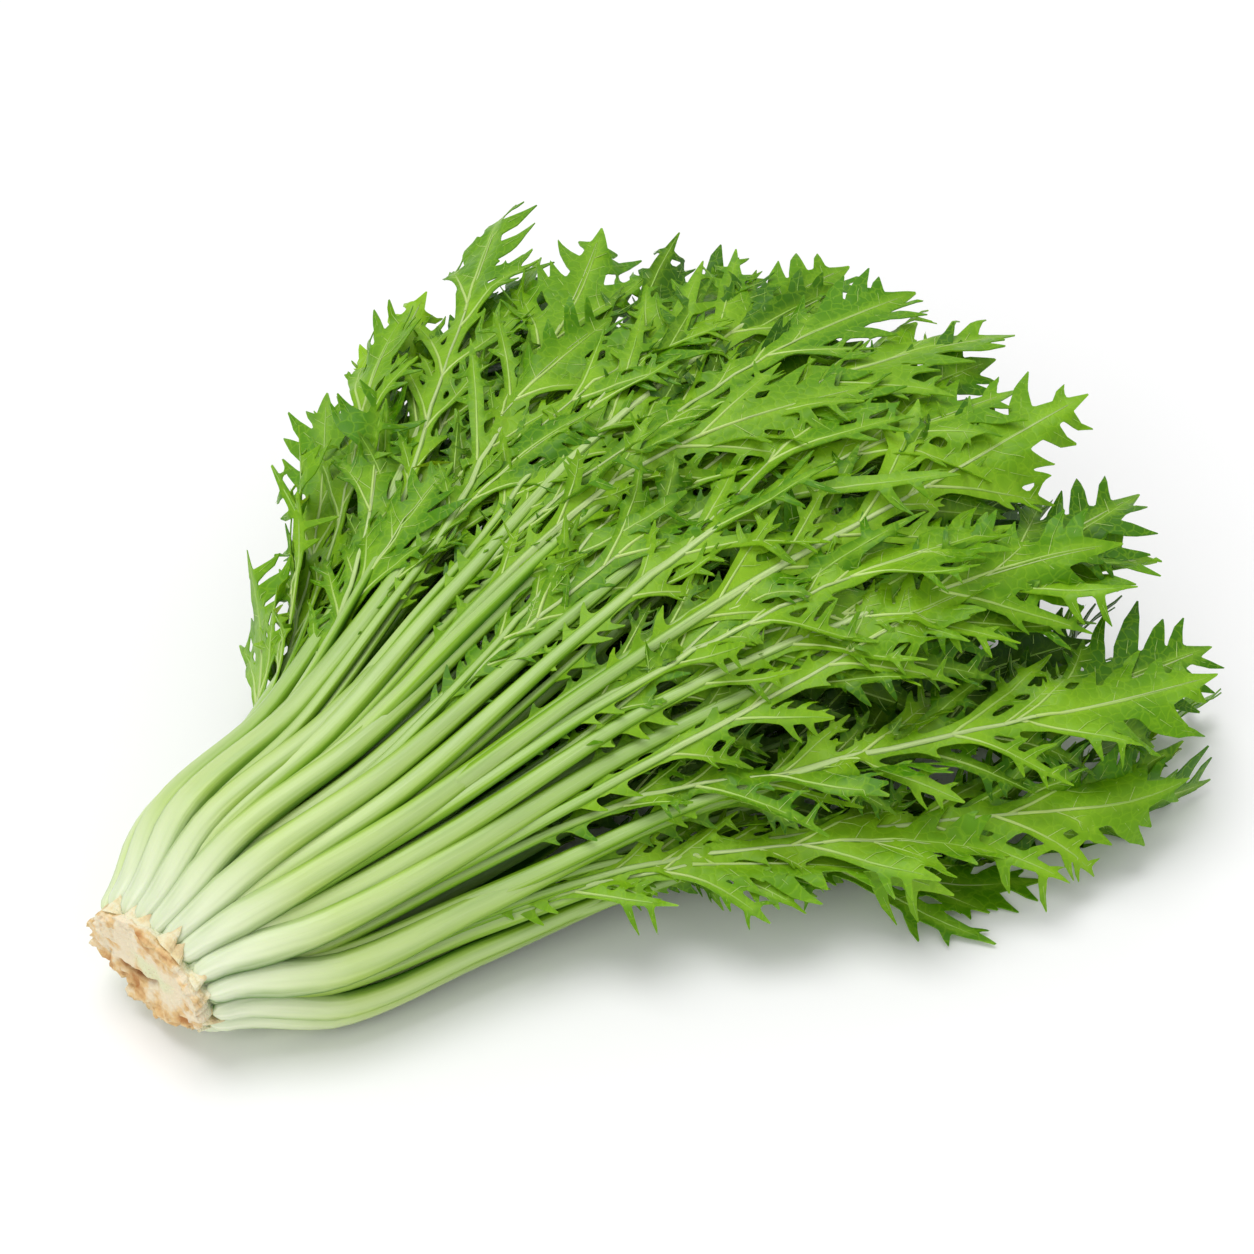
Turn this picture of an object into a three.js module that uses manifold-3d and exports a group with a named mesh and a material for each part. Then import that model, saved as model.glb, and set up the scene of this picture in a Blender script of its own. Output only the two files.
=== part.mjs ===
// A bunch of mizuna lying on its side: one trimmed crown and the leaves that grow from it in four rings.
// Millimetres, +Z up. +X runs from the crown's cut face towards the leaf tips, and Z = 0 is the table.
// Every leaf is one solid: a thick pale stalk that runs on as the midrib of a thin, deeply cut blade.

import * as THREE from "three";
import { mergeVertices } from "three/addons/utils/BufferGeometryUtils.js";
import Module from "manifold-3d";

const wasm = await Module();
wasm.setup();

// Form of the whole bunch, measured along its axis from the shoulder of the crown.
const STATION = [-5, 5, 30, 75, 140, 205, 275, 345, 415];
const HALF_WIDTH = [27, 31.5, 47, 56, 84, 127, 158, 170, 178];
const RISE = [17, 21, 35, 42, 49, 57, 64, 69, 71];
const DROP = [17, 20.5, 26, 29, 32, 33, 34, 35, 36];
const AXIS_HEIGHT = [25, 25, 27, 32, 37, 41, 44, 46, 47];
const AXIS_DRIFT = [0, 0, -3, -9, -5, -1, -6, -12, -14];

// How much the near side sags towards the table and the far side stands up.
const SAG = [0, 1, 9, 12, 14, 18, 22, 24, 25];
const LIFT = [0, 0, 0, 2, 11, 22, 31, 35, 37];

// The leaf rings, from the outside in. spread is the ring's share of the bunch's form, foot the place on the
// axis where its stalks stand on the crown, lean the degrees by which each blade lies over its neighbour.
const RINGS = [
  {
    name: "outer_leaf", count: 20, spread: 1, foot: -4, length: 362,
    stalkHalf: 5.6, bladeHalf: 29, lobes: 5, lean: 17,
  },
  {
    name: "middle_leaf", count: 14, spread: 0.7, foot: 0, length: 355,
    stalkHalf: 4.8, bladeHalf: 28, lobes: 5, lean: 16,
  },
  {
    name: "inner_leaf", count: 10, spread: 0.42, foot: 4, length: 345,
    stalkHalf: 3.8, bladeHalf: 25, lobes: 4, lean: 20,
  },
  {
    name: "heart_leaf", count: 6, spread: 0.16, foot: 8, length: 325,
    stalkHalf: 2.6, bladeHalf: 17, lobes: 3, lean: 24,
  },
];

// Shares of a leaf's length: where its blade and its free bend start, and the size of the lobe at its tip.
const BLADE_START = 0.45;
const BEND_START = 0.42;
const TERMINAL_LOBE = 0.13;

// Width of the rib along a leaf, and of the side lobes along its blade, as shares of their widest.
const RIB_SHARE = [0, 0.08, 0.18, 0.34, 0.55, 0.8, 1];
const RIB_WIDTH = [0.8, 0.98, 1, 0.76, 0.44, 0.24, 0.1];
const LOBE_SHARE = [0, 0.35, 0.75, 1];
const LOBE_WIDTH = [0.52, 0.86, 1, 0.7];

// Half thicknesses of a stalk as shares of its half width: at its edges, on its outer crest and its inner back.
const STALK_EDGE = 0.3;
const STALK_CREST = 0.72;
const STALK_BACK = 0.5;

// The same for the midrib of the blade, and the narrow wing of blade beside it.
const MIDRIB_CREST = 0.6;
const MIDRIB_BACK = 0.15;
const WING = 1.2;

// Corners of a side lobe, as shares of its length forward from the midrib and back towards the stalk: its
// shoulder, the rear tooth, the notch before it, the tip and the front shoulder.
const LOBE_CORNERS = [[0.3, 0.12], [0.62, 0.21], [0.7, 0.08], [1, 0], [0.52, -0.12]];
const LOBE_SWEEP = 0.95;

// Corners of the lobe at the tip, as shares of its length forward and to the side.
const TIP_TOOTH = [0.42, 0.3];
const TIP_NOTCH = [0.5, 0.17];

// How much single leaves differ: shares of the mean, degrees for lean and twist, millimetres for sway and curl.
const VARIATION = {
  reach: 0.07, lean: 3, twist: 8, sway: 9, curl: 5, cup: 0.05, blade: 0.08, stalk: 0.15, lobe: 0.13, sweep: 0.2,
};
const CUP = 0.08;

// Leaves on top of the bunch and on its near side are a little shorter, those on its far side much shorter.
const FAR_LOSS = 0.36;
const NEAR_LOSS = 0.12;
const TOP_LOSS = 0.05;

// Degrees by which blades on the near side turn to lie flatter, and what is left of a blade under the bunch.
const NEAR_TURN = 48;
const UNDER_FREEDOM = 0.6;
const UNDER_BLADE = 0.78;

const BLADE_THICKNESS = 0.8;
const STALK_SEGMENTS = 7;
const FOOT_GAP = 1.2;
const PACKING = 0.42;
const GROUND_SOFTNESS = 9;
const SETTLING = 1.4;
const TIGHTEST_ROLL = 50;

// How far a leaf strays from its even place in the ring, as a share of the pitch, and how soon it has.
const STRAY = 0.07;
const STRAY_REACH = 150;
const SEED = 2;

// Degrees of lean and millimetres outward by which single leaves are bent clear of their neighbours.
const NUDGES = {
  outer_leaf_11: { lean: 12, out: 6 },
  outer_leaf_14: { lean: -6, out: 0 },
  middle_leaf_01: { lean: 6, out: 12 },
  middle_leaf_02: { lean: -6, out: 0 },
  middle_leaf_04: { lean: 0, out: -3 },
  middle_leaf_14: { lean: 0, out: 6 },
  inner_leaf_04: { lean: -6, out: 0 },
  heart_leaf_03: { lean: 0, out: 3 },
};

// The crown: half sizes of its cut end, how far that lies from the shoulder, and the stubs round its rim.
const CROWN_HALF_WIDTH = 28.5;
const CROWN_HALF_HEIGHT = 18.8;
const CROWN_FACE = 10;
const CROWN_SEGMENTS = 24;
const STUB_COUNT = 18;
const STUB_SIZE = 2.6;
const STUB_SET_BACK = 2.2;

// Outline of the crown from the tip of its heart to the middle of its cut: share of the half size, place on the
// axis. Each ring of stalks stands on its own terrace.
const CROWN_PROFILE = [
  [0, 8], [0.12, 8], [0.16, 4], [0.3, 4], [0.31, 0], [0.56, 0], [0.57, -4],
  [1, -4], [1.04, 3 - CROWN_FACE], [0.98, 1 - CROWN_FACE], [0.7, -CROWN_FACE], [0, -CROWN_FACE],
];

const COLOURS = {
  crown: 0xe6cfa6,
  outer_leaf: 0x7fb53a,
  middle_leaf: 0x86bb41,
  inner_leaf: 0x93c44d,
  heart_leaf: 0xa6cf62,
};

function clamp(value, low, high) {
  return Math.min(high, Math.max(low, value));
}

// A smooth curve through a row of values, with the slope at each knot taken from its neighbours.
function along(knots, values, at) {
  const last = knots.length - 1;
  const x = clamp(at, knots[0], knots[last]);
  let i = 0;
  while (i < last - 1 && x > knots[i + 1]) i += 1;
  const slope = (k) => {
    const a = Math.max(0, k - 1);
    const b = Math.min(last, k + 1);
    return (values[b] - values[a]) / (knots[b] - knots[a]);
  };
  const span = knots[i + 1] - knots[i];
  const t = (x - knots[i]) / span;
  const t2 = t * t;
  const t3 = t2 * t;
  return (
    values[i] * (2 * t3 - 3 * t2 + 1) +
    slope(i) * span * (t3 - 2 * t2 + t) +
    values[i + 1] * (3 * t2 - 2 * t3) +
    slope(i + 1) * span * (t3 - t2)
  );
}

// A repeatable stream of numbers from -1 to 1.
function randomStream(seed) {
  let state = seed >>> 0;
  return () => {
    state = (Math.imul(state, 1664525) + 1013904223) >>> 0;
    return (state / 4294967296) * 2 - 1;
  };
}

// One leaf's own numbers, drawn in a fixed order from its own stream.
function leafOf(ring, ringIndex, index) {
  const name = `${ring.name}_${String(index + 1).padStart(2, "0")}`;
  const nudge = NUDGES[name] ?? { lean: 0, out: 0 };
  const random = randomStream(SEED + 1000 * ringIndex + 37 * index);
  for (let i = 0; i < 4; i += 1) random();
  const pitch = (2 * Math.PI) / ring.count;
  const angle = (index + 0.5 * (ringIndex % 2)) * pitch;
  const far = Math.max(0, Math.cos(angle));
  const near = Math.max(0, -Math.cos(angle));
  const top = Math.max(0, Math.sin(angle));
  const under = Math.sin(angle) < -0.1;
  const freedom = under ? UNDER_FREEDOM : 1;
  const loss = FAR_LOSS * (far * ring.spread) ** 3 + NEAR_LOSS * near * ring.spread + TOP_LOSS * top;
  const reach = ring.length * (1 + VARIATION.reach * random()) * (1 - loss);
  const lean = (ring.lean + VARIATION.lean * random()) * freedom - NEAR_TURN * near * near + nudge.lean;
  return {
    name,
    ring,
    under,
    angle,
    stray: STRAY * pitch * random(),
    reach,
    lean: THREE.MathUtils.degToRad(lean),
    twist: THREE.MathUtils.degToRad(VARIATION.twist * random()),
    sway: VARIATION.sway * random(),
    curl: VARIATION.curl * random() * freedom + nudge.out,
    cup: CUP + VARIATION.cup * random(),
    bladeHalf:
      ring.bladeHalf * (1 + VARIATION.blade * random()) * (reach / ring.length) * (under ? UNDER_BLADE : 1),
    stalkHalf: ring.stalkHalf * (1 + VARIATION.stalk * random()),
    random,
  };
}

// Where a ring lies in the cross section at an axial distance, as y and z, by the angle round the bunch.
function ringPoint(ring, angle, distance) {
  const width = along(STATION, HALF_WIDTH, distance);
  const height = along(STATION, Math.sin(angle) < 0 ? DROP : RISE, distance);
  const turned = angle + ((0.5 * (width - height)) / (width + height)) * Math.sin(2 * angle);
  const cos = Math.cos(turned);
  const side = along(STATION, cos < 0 ? SAG : LIFT, distance) * cos ** 3;
  return new THREE.Vector2(
    along(STATION, AXIS_DRIFT, distance) + ring.spread * width * cos,
    along(STATION, AXIS_HEIGHT, distance) + ring.spread * (height * Math.sin(turned) + side),
  );
}

// A leaf's midrib point at an axial distance, the outward direction there, the radius of the bunch's round
// and the room along that round for one leaf.
function ribPoint(leaf, distance) {
  const spreadOut = clamp(distance / STRAY_REACH, 0, 1);
  const angle = leaf.angle + leaf.stray * spreadOut;
  const step = Math.PI / leaf.ring.count;
  const middle = ringPoint(leaf.ring, angle, distance);
  const before = ringPoint(leaf.ring, angle - step, distance);
  const after = ringPoint(leaf.ring, angle + step, distance);
  const pitch = before.distanceTo(after);
  const round = after.clone().sub(before).divideScalar(pitch);
  const out = new THREE.Vector2(round.y, -round.x);
  const sagitta = middle.clone().sub(before).dot(out);
  const radius = (pitch * pitch) / (8 * Math.max(sagitta, 0.01));
  const bend = clamp((distance / leaf.reach - BEND_START) / (1 - BEND_START), 0, 1) ** 2;
  middle.addScaledVector(round, leaf.sway * bend).addScaledVector(out, leaf.curl * bend);
  return {
    point: new THREE.Vector3(distance, middle.x, middle.y),
    out: new THREE.Vector3(0, out.x, out.y),
    bend,
    radius,
    room: pitch * (1 - 2 * STRAY * spreadOut),
  };
}

// The leaf's own frame: along the rib, sideways across the blade, and outward from its back.
function ribFrame(leaf, distance) {
  const step = 2;
  const { point, out, bend, radius } = ribPoint(leaf, distance);
  const ahead = ribPoint(leaf, distance + step).point;
  const tangent = ahead.sub(ribPoint(leaf, distance - step).point).normalize();
  const normal = out.clone().addScaledVector(tangent, -out.dot(tangent)).normalize();
  normal.applyAxisAngle(tangent, leaf.lean + leaf.twist * bend);
  return { point, normal, across: new THREE.Vector3().crossVectors(normal, tangent), radius };
}

// Presses what would pass under the table down on to it, without changing the order of what lies above what.
// The soft stalks settle a little, so that their undersides are flat where they lie on the table.
function aboveGround(z) {
  const pressed = z > GROUND_SOFTNESS ? z : GROUND_SOFTNESS * Math.exp(z / GROUND_SOFTNESS - 1);
  return pressed - SETTLING;
}

// Length along the rib from the foot to its tip.
function ribLength(leaf) {
  const steps = 40;
  const from = leaf.ring.foot;
  let length = 0;
  let before = ribPoint(leaf, from).point;
  for (let i = 1; i <= steps; i += 1) {
    const point = ribPoint(leaf, from + ((leaf.reach - from) * i) / steps).point;
    length += point.distanceTo(before);
    before = point;
  }
  return length;
}

// A leaf's flat pattern: u runs along the rib, w across it, up and down are the half thicknesses.
class Pattern {
  constructor() {
    this.points = [];
    this.triangles = [];
  }

  point(u, w, up, down) {
    return this.points.push({ u, w, up, down }) - 1;
  }

  polygon(corners) {
    const flat = corners.map((k) => new THREE.Vector2(this.points[k].u, this.points[k].w));
    for (const [a, b, c] of THREE.ShapeUtils.triangulateShape(flat, [])) {
      const turned = THREE.ShapeUtils.area([flat[a], flat[b], flat[c]]) < 0;
      this.triangles.push([corners[a], corners[turned ? c : b], corners[turned ? b : c]]);
    }
  }

  // The closed solid: the pattern's triangles on both faces, with a wall along its rim.
  geometry(place) {
    const corner = [];
    for (const p of this.points) {
      const { position, normal } = place(p.u, p.w);
      const top = position.clone().addScaledVector(normal, p.up);
      const bottom = position.clone().addScaledVector(normal, -p.down);
      const sunk = Math.max(0, -Math.min(top.z, bottom.z));
      if (p.up + p.down < 2 * BLADE_THICKNESS) {
        top.z += sunk;
        bottom.z += sunk;
      }
      corner.push([top, bottom]);
    }
    const faces = [];
    const open = new Map();
    for (const [a, b, c] of this.triangles) {
      faces.push(corner[a][0], corner[b][0], corner[c][0], corner[a][1], corner[c][1], corner[b][1]);
      for (const [from, to] of [[a, b], [b, c], [c, a]]) {
        if (!open.delete(`${to}:${from}`)) open.set(`${from}:${to}`, [from, to]);
      }
    }
    for (const [from, to] of open.values()) {
      faces.push(corner[from][0], corner[from][1], corner[to][1]);
      faces.push(corner[from][0], corner[to][1], corner[to][0]);
    }
    return new THREE.BufferGeometry().setFromPoints(faces);
  }
}

// Half width of the stalk, and further on of the midrib, at a share of the leaf's length.
function ribHalf(leaf, share) {
  const full = leaf.stalkHalf;
  const own = along(RIB_SHARE, RIB_WIDTH, share) * full;
  return Math.min(own, PACKING * ribPoint(leaf, share * leaf.reach).room);
}

// The corner points of one side lobe.
function lobeCorners(side, from, to, extent, sweep) {
  const middle = new THREE.Vector2((from + to) / 2, 0);
  const tip = new THREE.Vector2(middle.x + sweep * extent, side * extent);
  const axis = tip.clone().sub(middle);
  const size = axis.length();
  axis.divideScalar(size);
  const rear = new THREE.Vector2(-side * axis.y, side * axis.x);
  return LOBE_CORNERS.map(([forward, back]) =>
    middle.clone().addScaledVector(axis, forward * size).addScaledVector(rear, back * size),
  );
}

function leafPattern(leaf, length) {
  const pattern = new Pattern();
  const half = BLADE_THICKNESS / 2;
  const random = leaf.random;
  const lobes = leaf.ring.lobes - (leaf.under ? 1 : 0);
  const bladeFrom = BLADE_START * length;
  const terminal = (1 - TERMINAL_LOBE) * length;

  // The stalk: a flat hexagon in section, rounder on its outer side.
  const station = (u) => {
    const w = ribHalf(leaf, u / length);
    return [
      pattern.point(u, w, STALK_EDGE * w, STALK_EDGE * w),
      pattern.point(u, 0, STALK_CREST * w, STALK_BACK * w),
      pattern.point(u, -w, STALK_EDGE * w, STALK_EDGE * w),
    ];
  };
  let before = station(0);
  for (let i = 1; i <= STALK_SEGMENTS; i += 1) {
    const u = bladeFrom * (i / STALK_SEGMENTS) ** 1.5;
    const here = i < STALK_SEGMENTS ? station(u) : bladeStation(pattern, leaf, u, length, half);
    for (const k of [0, 1]) pattern.polygon([before[k], before[k + 1], here[k + 1], here[k]]);
    before = here;
  }

  // The blade: side lobes in pairs, then the terminal lobe.
  const pitch = (terminal - bladeFrom) / lobes;
  for (let i = 0; i < lobes; i += 1) {
    const from = bladeFrom + i * pitch;
    const here = bladeStation(pattern, leaf, from + pitch, length, half);
    const extent = leaf.bladeHalf * along(LOBE_SHARE, LOBE_WIDTH, (i + 0.5) / lobes);
    for (const side of [1, -1]) {
      const k = 1 - side;
      const reach = extent * (1 + VARIATION.lobe * random());
      const sweep = LOBE_SWEEP + VARIATION.sweep * random();
      const lobe = lobeCorners(side, from, from + pitch, reach, sweep);
      const rim = lobe.map((c) => pattern.point(c.x, c.y, half, half));
      pattern.polygon([before[1], before[k], ...rim, here[k], here[1]]);
    }
    before = here;
  }
  const size = length - terminal;
  const tip = pattern.point(length, 0, half, half);
  for (const side of [1, -1]) {
    const [tooth, notch] = [TIP_TOOTH, TIP_NOTCH].map(([forward, aside]) =>
      pattern.point(terminal + forward * size, side * aside * size, half, half),
    );
    pattern.polygon([before[1], before[1 - side], tooth, notch, tip]);
  }
  return pattern;
}

// One line of points across the blade between two pairs of lobes: a raised rib with a narrow wing each side.
function bladeStation(pattern, leaf, u, length, half) {
  const w = ribHalf(leaf, u / length);
  const wing = w + WING;
  return [
    pattern.point(u, wing, half, half),
    pattern.point(u, 0, half + MIDRIB_CREST * w, half + MIDRIB_BACK * w),
    pattern.point(u, -wing, half, half),
  ];
}

function solidOf(geometry) {
  geometry.deleteAttribute("normal");
  geometry.deleteAttribute("uv");
  const merged = mergeVertices(geometry, 1e-4);
  return new wasm.Manifold(
    new wasm.Mesh({
      numProp: 3,
      vertProperties: merged.attributes.position.array,
      triVerts: new Uint32Array(merged.index.array),
    }),
  );
}

function geometryOf(solid) {
  const mesh = solid.getMesh();
  const geometry = new THREE.BufferGeometry();
  geometry.setAttribute("position", new THREE.BufferAttribute(new Float32Array(mesh.vertProperties), 3));
  geometry.setIndex(new THREE.BufferAttribute(new Uint32Array(mesh.triVerts), 1));
  return geometry;
}

// Everything under the table, for trimming a solid to a flat spot at Z = 0.
const BELOW_TABLE = solidOf(new THREE.BoxGeometry(900, 900, 60).translate(150, 0, -30));

function leafSolid(leaf) {
  const length = ribLength(leaf);
  const foot = leaf.ring.foot + FOOT_GAP;
  const place = (u, w) => {
    const distance = foot + ((leaf.reach - foot) * u) / length;
    const { point, normal, across, radius } = ribFrame(leaf, distance);
    const hollow = leaf.cup / leaf.bladeHalf + 0.5 / Math.max(radius, TIGHTEST_ROLL);
    const position = point.addScaledVector(across, w).addScaledVector(normal, -hollow * w * w);
    position.z = aboveGround(position.z);
    return { position, normal: normal.addScaledVector(across, 2 * hollow * w).normalize() };
  };
  return solidOf(leafPattern(leaf, length).geometry(place)).subtract(BELOW_TABLE);
}

// The crown: the stem's cut end, with the pointed stubs of trimmed leaves around its rim.
function crownSolid() {
  const outline = CROWN_PROFILE.map(([r, x]) => new THREE.Vector2(r, -x));
  const lathe = new THREE.LatheGeometry(outline, CROWN_SEGMENTS);
  lathe.rotateZ(Math.PI / 2);
  lathe.scale(1, CROWN_HALF_WIDTH, CROWN_HALF_HEIGHT);
  let crown = solidOf(lathe);
  const random = randomStream(SEED);
  for (let i = 0; i < STUB_COUNT; i += 1) {
    const even = ((i + 0.5) * 2 * Math.PI) / STUB_COUNT;
    const angle = even + 0.1 * Math.sin(2 * even);
    const size = STUB_SIZE * (1 + 0.3 * random());
    const stub = new THREE.ConeGeometry(size, 3.2 * size, 4).scale(1, 1, 0.5);
    stub.rotateZ(-Math.PI / 2 + 0.25).translate(STUB_SET_BACK - CROWN_FACE + 0.8 * random(), 0, 0);
    stub.rotateX(angle - 0.2 * random());
    const side = 0.99 * CROWN_HALF_WIDTH * Math.cos(angle);
    const height = 0.99 * CROWN_HALF_HEIGHT * Math.sin(angle);
    crown = crown.add(solidOf(stub.translate(0, side, height)));
  }
  return crown.translate([0, 0, along(STATION, AXIS_HEIGHT, 0)]).subtract(BELOW_TABLE);
}

const bunch = new THREE.Group();

function addPart(name, solid, colour) {
  const material = new THREE.MeshStandardMaterial({ color: colour, roughness: 0.5, metalness: 0 });
  const mesh = new THREE.Mesh(geometryOf(solid), material);
  mesh.name = name;
  bunch.add(mesh);
}

addPart("crown", crownSolid(), COLOURS.crown);
RINGS.forEach((ring, ringIndex) => {
  for (let i = 0; i < ring.count; i += 1) {
    const leaf = leafOf(ring, ringIndex, i);
    addPart(leaf.name, leafSolid(leaf), COLOURS[ring.name]);
  }
});

const box = new THREE.Box3().setFromObject(bunch);
bunch.position.set(-(box.min.x + box.max.x) / 2, -(box.min.y + box.max.y) / 2, -box.min.z);

export default bunch;
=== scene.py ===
"""Looks of a bunch of mizuna on a table: cut leaves with ribs and veins, ridged stalks and the trimmed crown."""

import logging
import math
from dataclasses import dataclass, field
from enum import Enum

import bpy
import numpy as np
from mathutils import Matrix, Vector, noise
from mathutils.geometry import delaunay_2d_cdt


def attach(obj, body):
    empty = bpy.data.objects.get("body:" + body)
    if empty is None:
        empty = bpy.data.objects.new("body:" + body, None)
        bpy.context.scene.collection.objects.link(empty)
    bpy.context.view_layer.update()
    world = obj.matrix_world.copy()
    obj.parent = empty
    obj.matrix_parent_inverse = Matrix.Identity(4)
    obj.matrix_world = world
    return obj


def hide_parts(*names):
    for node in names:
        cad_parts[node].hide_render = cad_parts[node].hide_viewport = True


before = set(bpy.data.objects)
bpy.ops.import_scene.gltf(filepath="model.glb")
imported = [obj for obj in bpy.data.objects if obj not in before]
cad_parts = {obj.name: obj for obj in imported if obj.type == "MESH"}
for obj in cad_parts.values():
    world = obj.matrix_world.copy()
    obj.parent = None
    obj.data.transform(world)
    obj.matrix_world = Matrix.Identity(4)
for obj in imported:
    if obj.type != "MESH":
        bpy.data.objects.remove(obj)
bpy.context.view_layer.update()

LOG = logging.getLogger("mizuna")
Colour = tuple[float, float, float, float]
Material = bpy.types.Material
Socket = bpy.types.NodeSocket

# All shapes are worked out in millimetres from the crown's cut, as the solids are, and then moved into the frame.
MILLIMETRE = 0.001
CUT_IN_FRAME = np.array([-178.017, 20.69, 0.0])
# How many millimetres of the flat leaf one unit of its pattern coordinates is.
PATTERN_SIZE = 100


class Slot(Enum):
    """The record's material slots that the pieces take their finish from."""

    CROWN = "crown"
    OUTER = "outer_leaf"
    MIDDLE = "middle_leaf"
    INNER = "inner_leaf"
    HEART = "heart_leaf"


class Finish(Enum):
    """Which of a leaf's materials a face has, by its place in the material list."""

    BLADE = 0
    STALK = 1
    RIB = 2


def colour(code: str) -> Colour:
    """Turns a colour code into the linear values that a shader reads.

    Args:
        code: The colour, such as "8cc63f".

    Returns:
        Red, green, blue and alpha.
    """
    parts = [int(code[i : i + 2], 16) / 255 for i in (0, 2, 4)]
    linear = [p / 12.92 if p <= 0.04045 else ((p + 0.055) / 1.055) ** 2.4 for p in parts]
    return (*linear, 1.0)


def along(knots: tuple, values: tuple, at: np.ndarray | float) -> np.ndarray:
    """A smooth curve through a row of values, with the slope at each knot taken from its neighbours.

    Args:
        knots: Places of the values, rising.
        values: The value at each knot.
        at: Where the curve is read; it is held at the first and last knot.

    Returns:
        The curve's values there.
    """
    places = np.asarray(knots, float)
    heights = np.asarray(values, float)
    last = len(places) - 1
    x = np.clip(np.asarray(at, float), places[0], places[last])
    i = np.clip(np.searchsorted(places, x, side="left") - 1, 0, last - 1)
    lower = np.maximum(np.arange(last + 1) - 1, 0)
    upper = np.minimum(np.arange(last + 1) + 1, last)
    slope = (heights[upper] - heights[lower]) / (places[upper] - places[lower])
    span = places[i + 1] - places[i]
    t = (x - places[i]) / span
    rise = heights[i] * (2 * t**3 - 3 * t**2 + 1) + heights[i + 1] * (3 * t**2 - 2 * t**3)
    return rise + slope[i] * span * (t**3 - 2 * t**2 + t) + slope[i + 1] * span * (t**3 - t**2)


def smooth(value: np.ndarray | float, low: float, high: float) -> np.ndarray:
    """Rises smoothly from 0 at low to 1 at high."""
    t = np.clip((np.asarray(value, float) - low) / (high - low), 0, 1)
    return t * t * (3 - 2 * t)


def soft_limit(value: np.ndarray, start: float, room: float) -> np.ndarray:
    """Bends what passes a start value over, so that it comes no further than some room past it."""
    over = np.maximum(value - start, 0) / room
    return np.where(over > 0, start + room * (1 - np.exp(-over)), value)


def unit(rows: np.ndarray) -> np.ndarray:
    """Gives each row of vectors a length of one."""
    return rows / np.maximum(np.linalg.norm(rows, axis=-1, keepdims=True), 1e-9)


class RandomStream:
    """A repeatable stream of numbers from -1 to 1, the same that the solids are drawn with."""

    period = 2**32

    def __init__(self, seed: int) -> None:
        """Starts the stream."""
        self.state = seed % self.period

    def draw(self) -> float:
        """The stream's next number."""
        self.state = (self.state * 1664525 + 1013904223) % self.period
        return self.state / self.period * 2 - 1

    def between(self, low: float, high: float) -> float:
        """The stream's next number, spread from low to high."""
        return low + (high - low) * (self.draw() + 1) / 2


@dataclass(frozen=True)
class BunchForm:
    """The bunch's outer form along its axis, in millimetres from the cut."""

    station: tuple = (-5, 5, 30, 75, 140, 205, 275, 345, 415)
    half_width: tuple = (27, 31.5, 47, 56, 84, 127, 158, 170, 178)
    rise: tuple = (17, 21, 35, 42, 49, 57, 64, 69, 71)
    drop: tuple = (17, 20.5, 26, 29, 32, 33, 34, 35, 36)
    axis_height: tuple = (25, 25, 27, 32, 37, 41, 44, 46, 47)
    axis_drift: tuple = (0, 0, -3, -9, -5, -1, -6, -12, -14)
    sag: tuple = (0, 1, 9, 12, 14, 18, 22, 24, 25)
    lift: tuple = (0, 0, 0, 2, 11, 22, 31, 35, 37)
    crowding: float = 0.5

    def ring_point(self, spread: float, angle: np.ndarray, distance: np.ndarray) -> np.ndarray:
        """Where a ring of leaves lies in the cross section.

        Args:
            spread: The ring's share of the form.
            angle: Angle round the bunch.
            distance: Distance along the axis.

        Returns:
            Rows of the sideways place and the height.
        """
        width = along(self.station, self.half_width, distance)
        up = along(self.station, self.rise, distance)
        down = along(self.station, self.drop, distance)
        height = np.where(np.sin(angle) < 0, down, up)
        turned = angle + self.crowding * (width - height) / (width + height) * np.sin(2 * angle)
        cos = np.cos(turned)
        sag = along(self.station, self.sag, distance)
        lift = along(self.station, self.lift, distance)
        side = np.where(cos < 0, sag, lift) * cos**3
        y = along(self.station, self.axis_drift, distance) + spread * width * cos
        z = along(self.station, self.axis_height, distance) + spread * (height * np.sin(turned) + side)
        return np.stack([y, z], -1)


@dataclass(frozen=True)
class LeafRing:
    """One set of leaves: how many, where round the bunch, and the size of a leaf, in millimetres and degrees."""

    slot: Slot
    count: int
    spread: float
    foot: float
    length: float
    stalk_half: float
    blade_half: float
    lobes: int
    lean: float
    offset: float = 0.0
    prefix: str = ""
    first: float = 0.0
    last: float = 360.0
    shortest: float = 1.0
    turn: float = 24.0
    bow: float = 9.0
    lift: tuple = (0.0, 0.0)
    rooted: float = 1.0

    @property
    def pitch(self) -> float:
        """The angle from one leaf to the next, in radians."""
        return math.radians(self.last - self.first) / self.count


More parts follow.
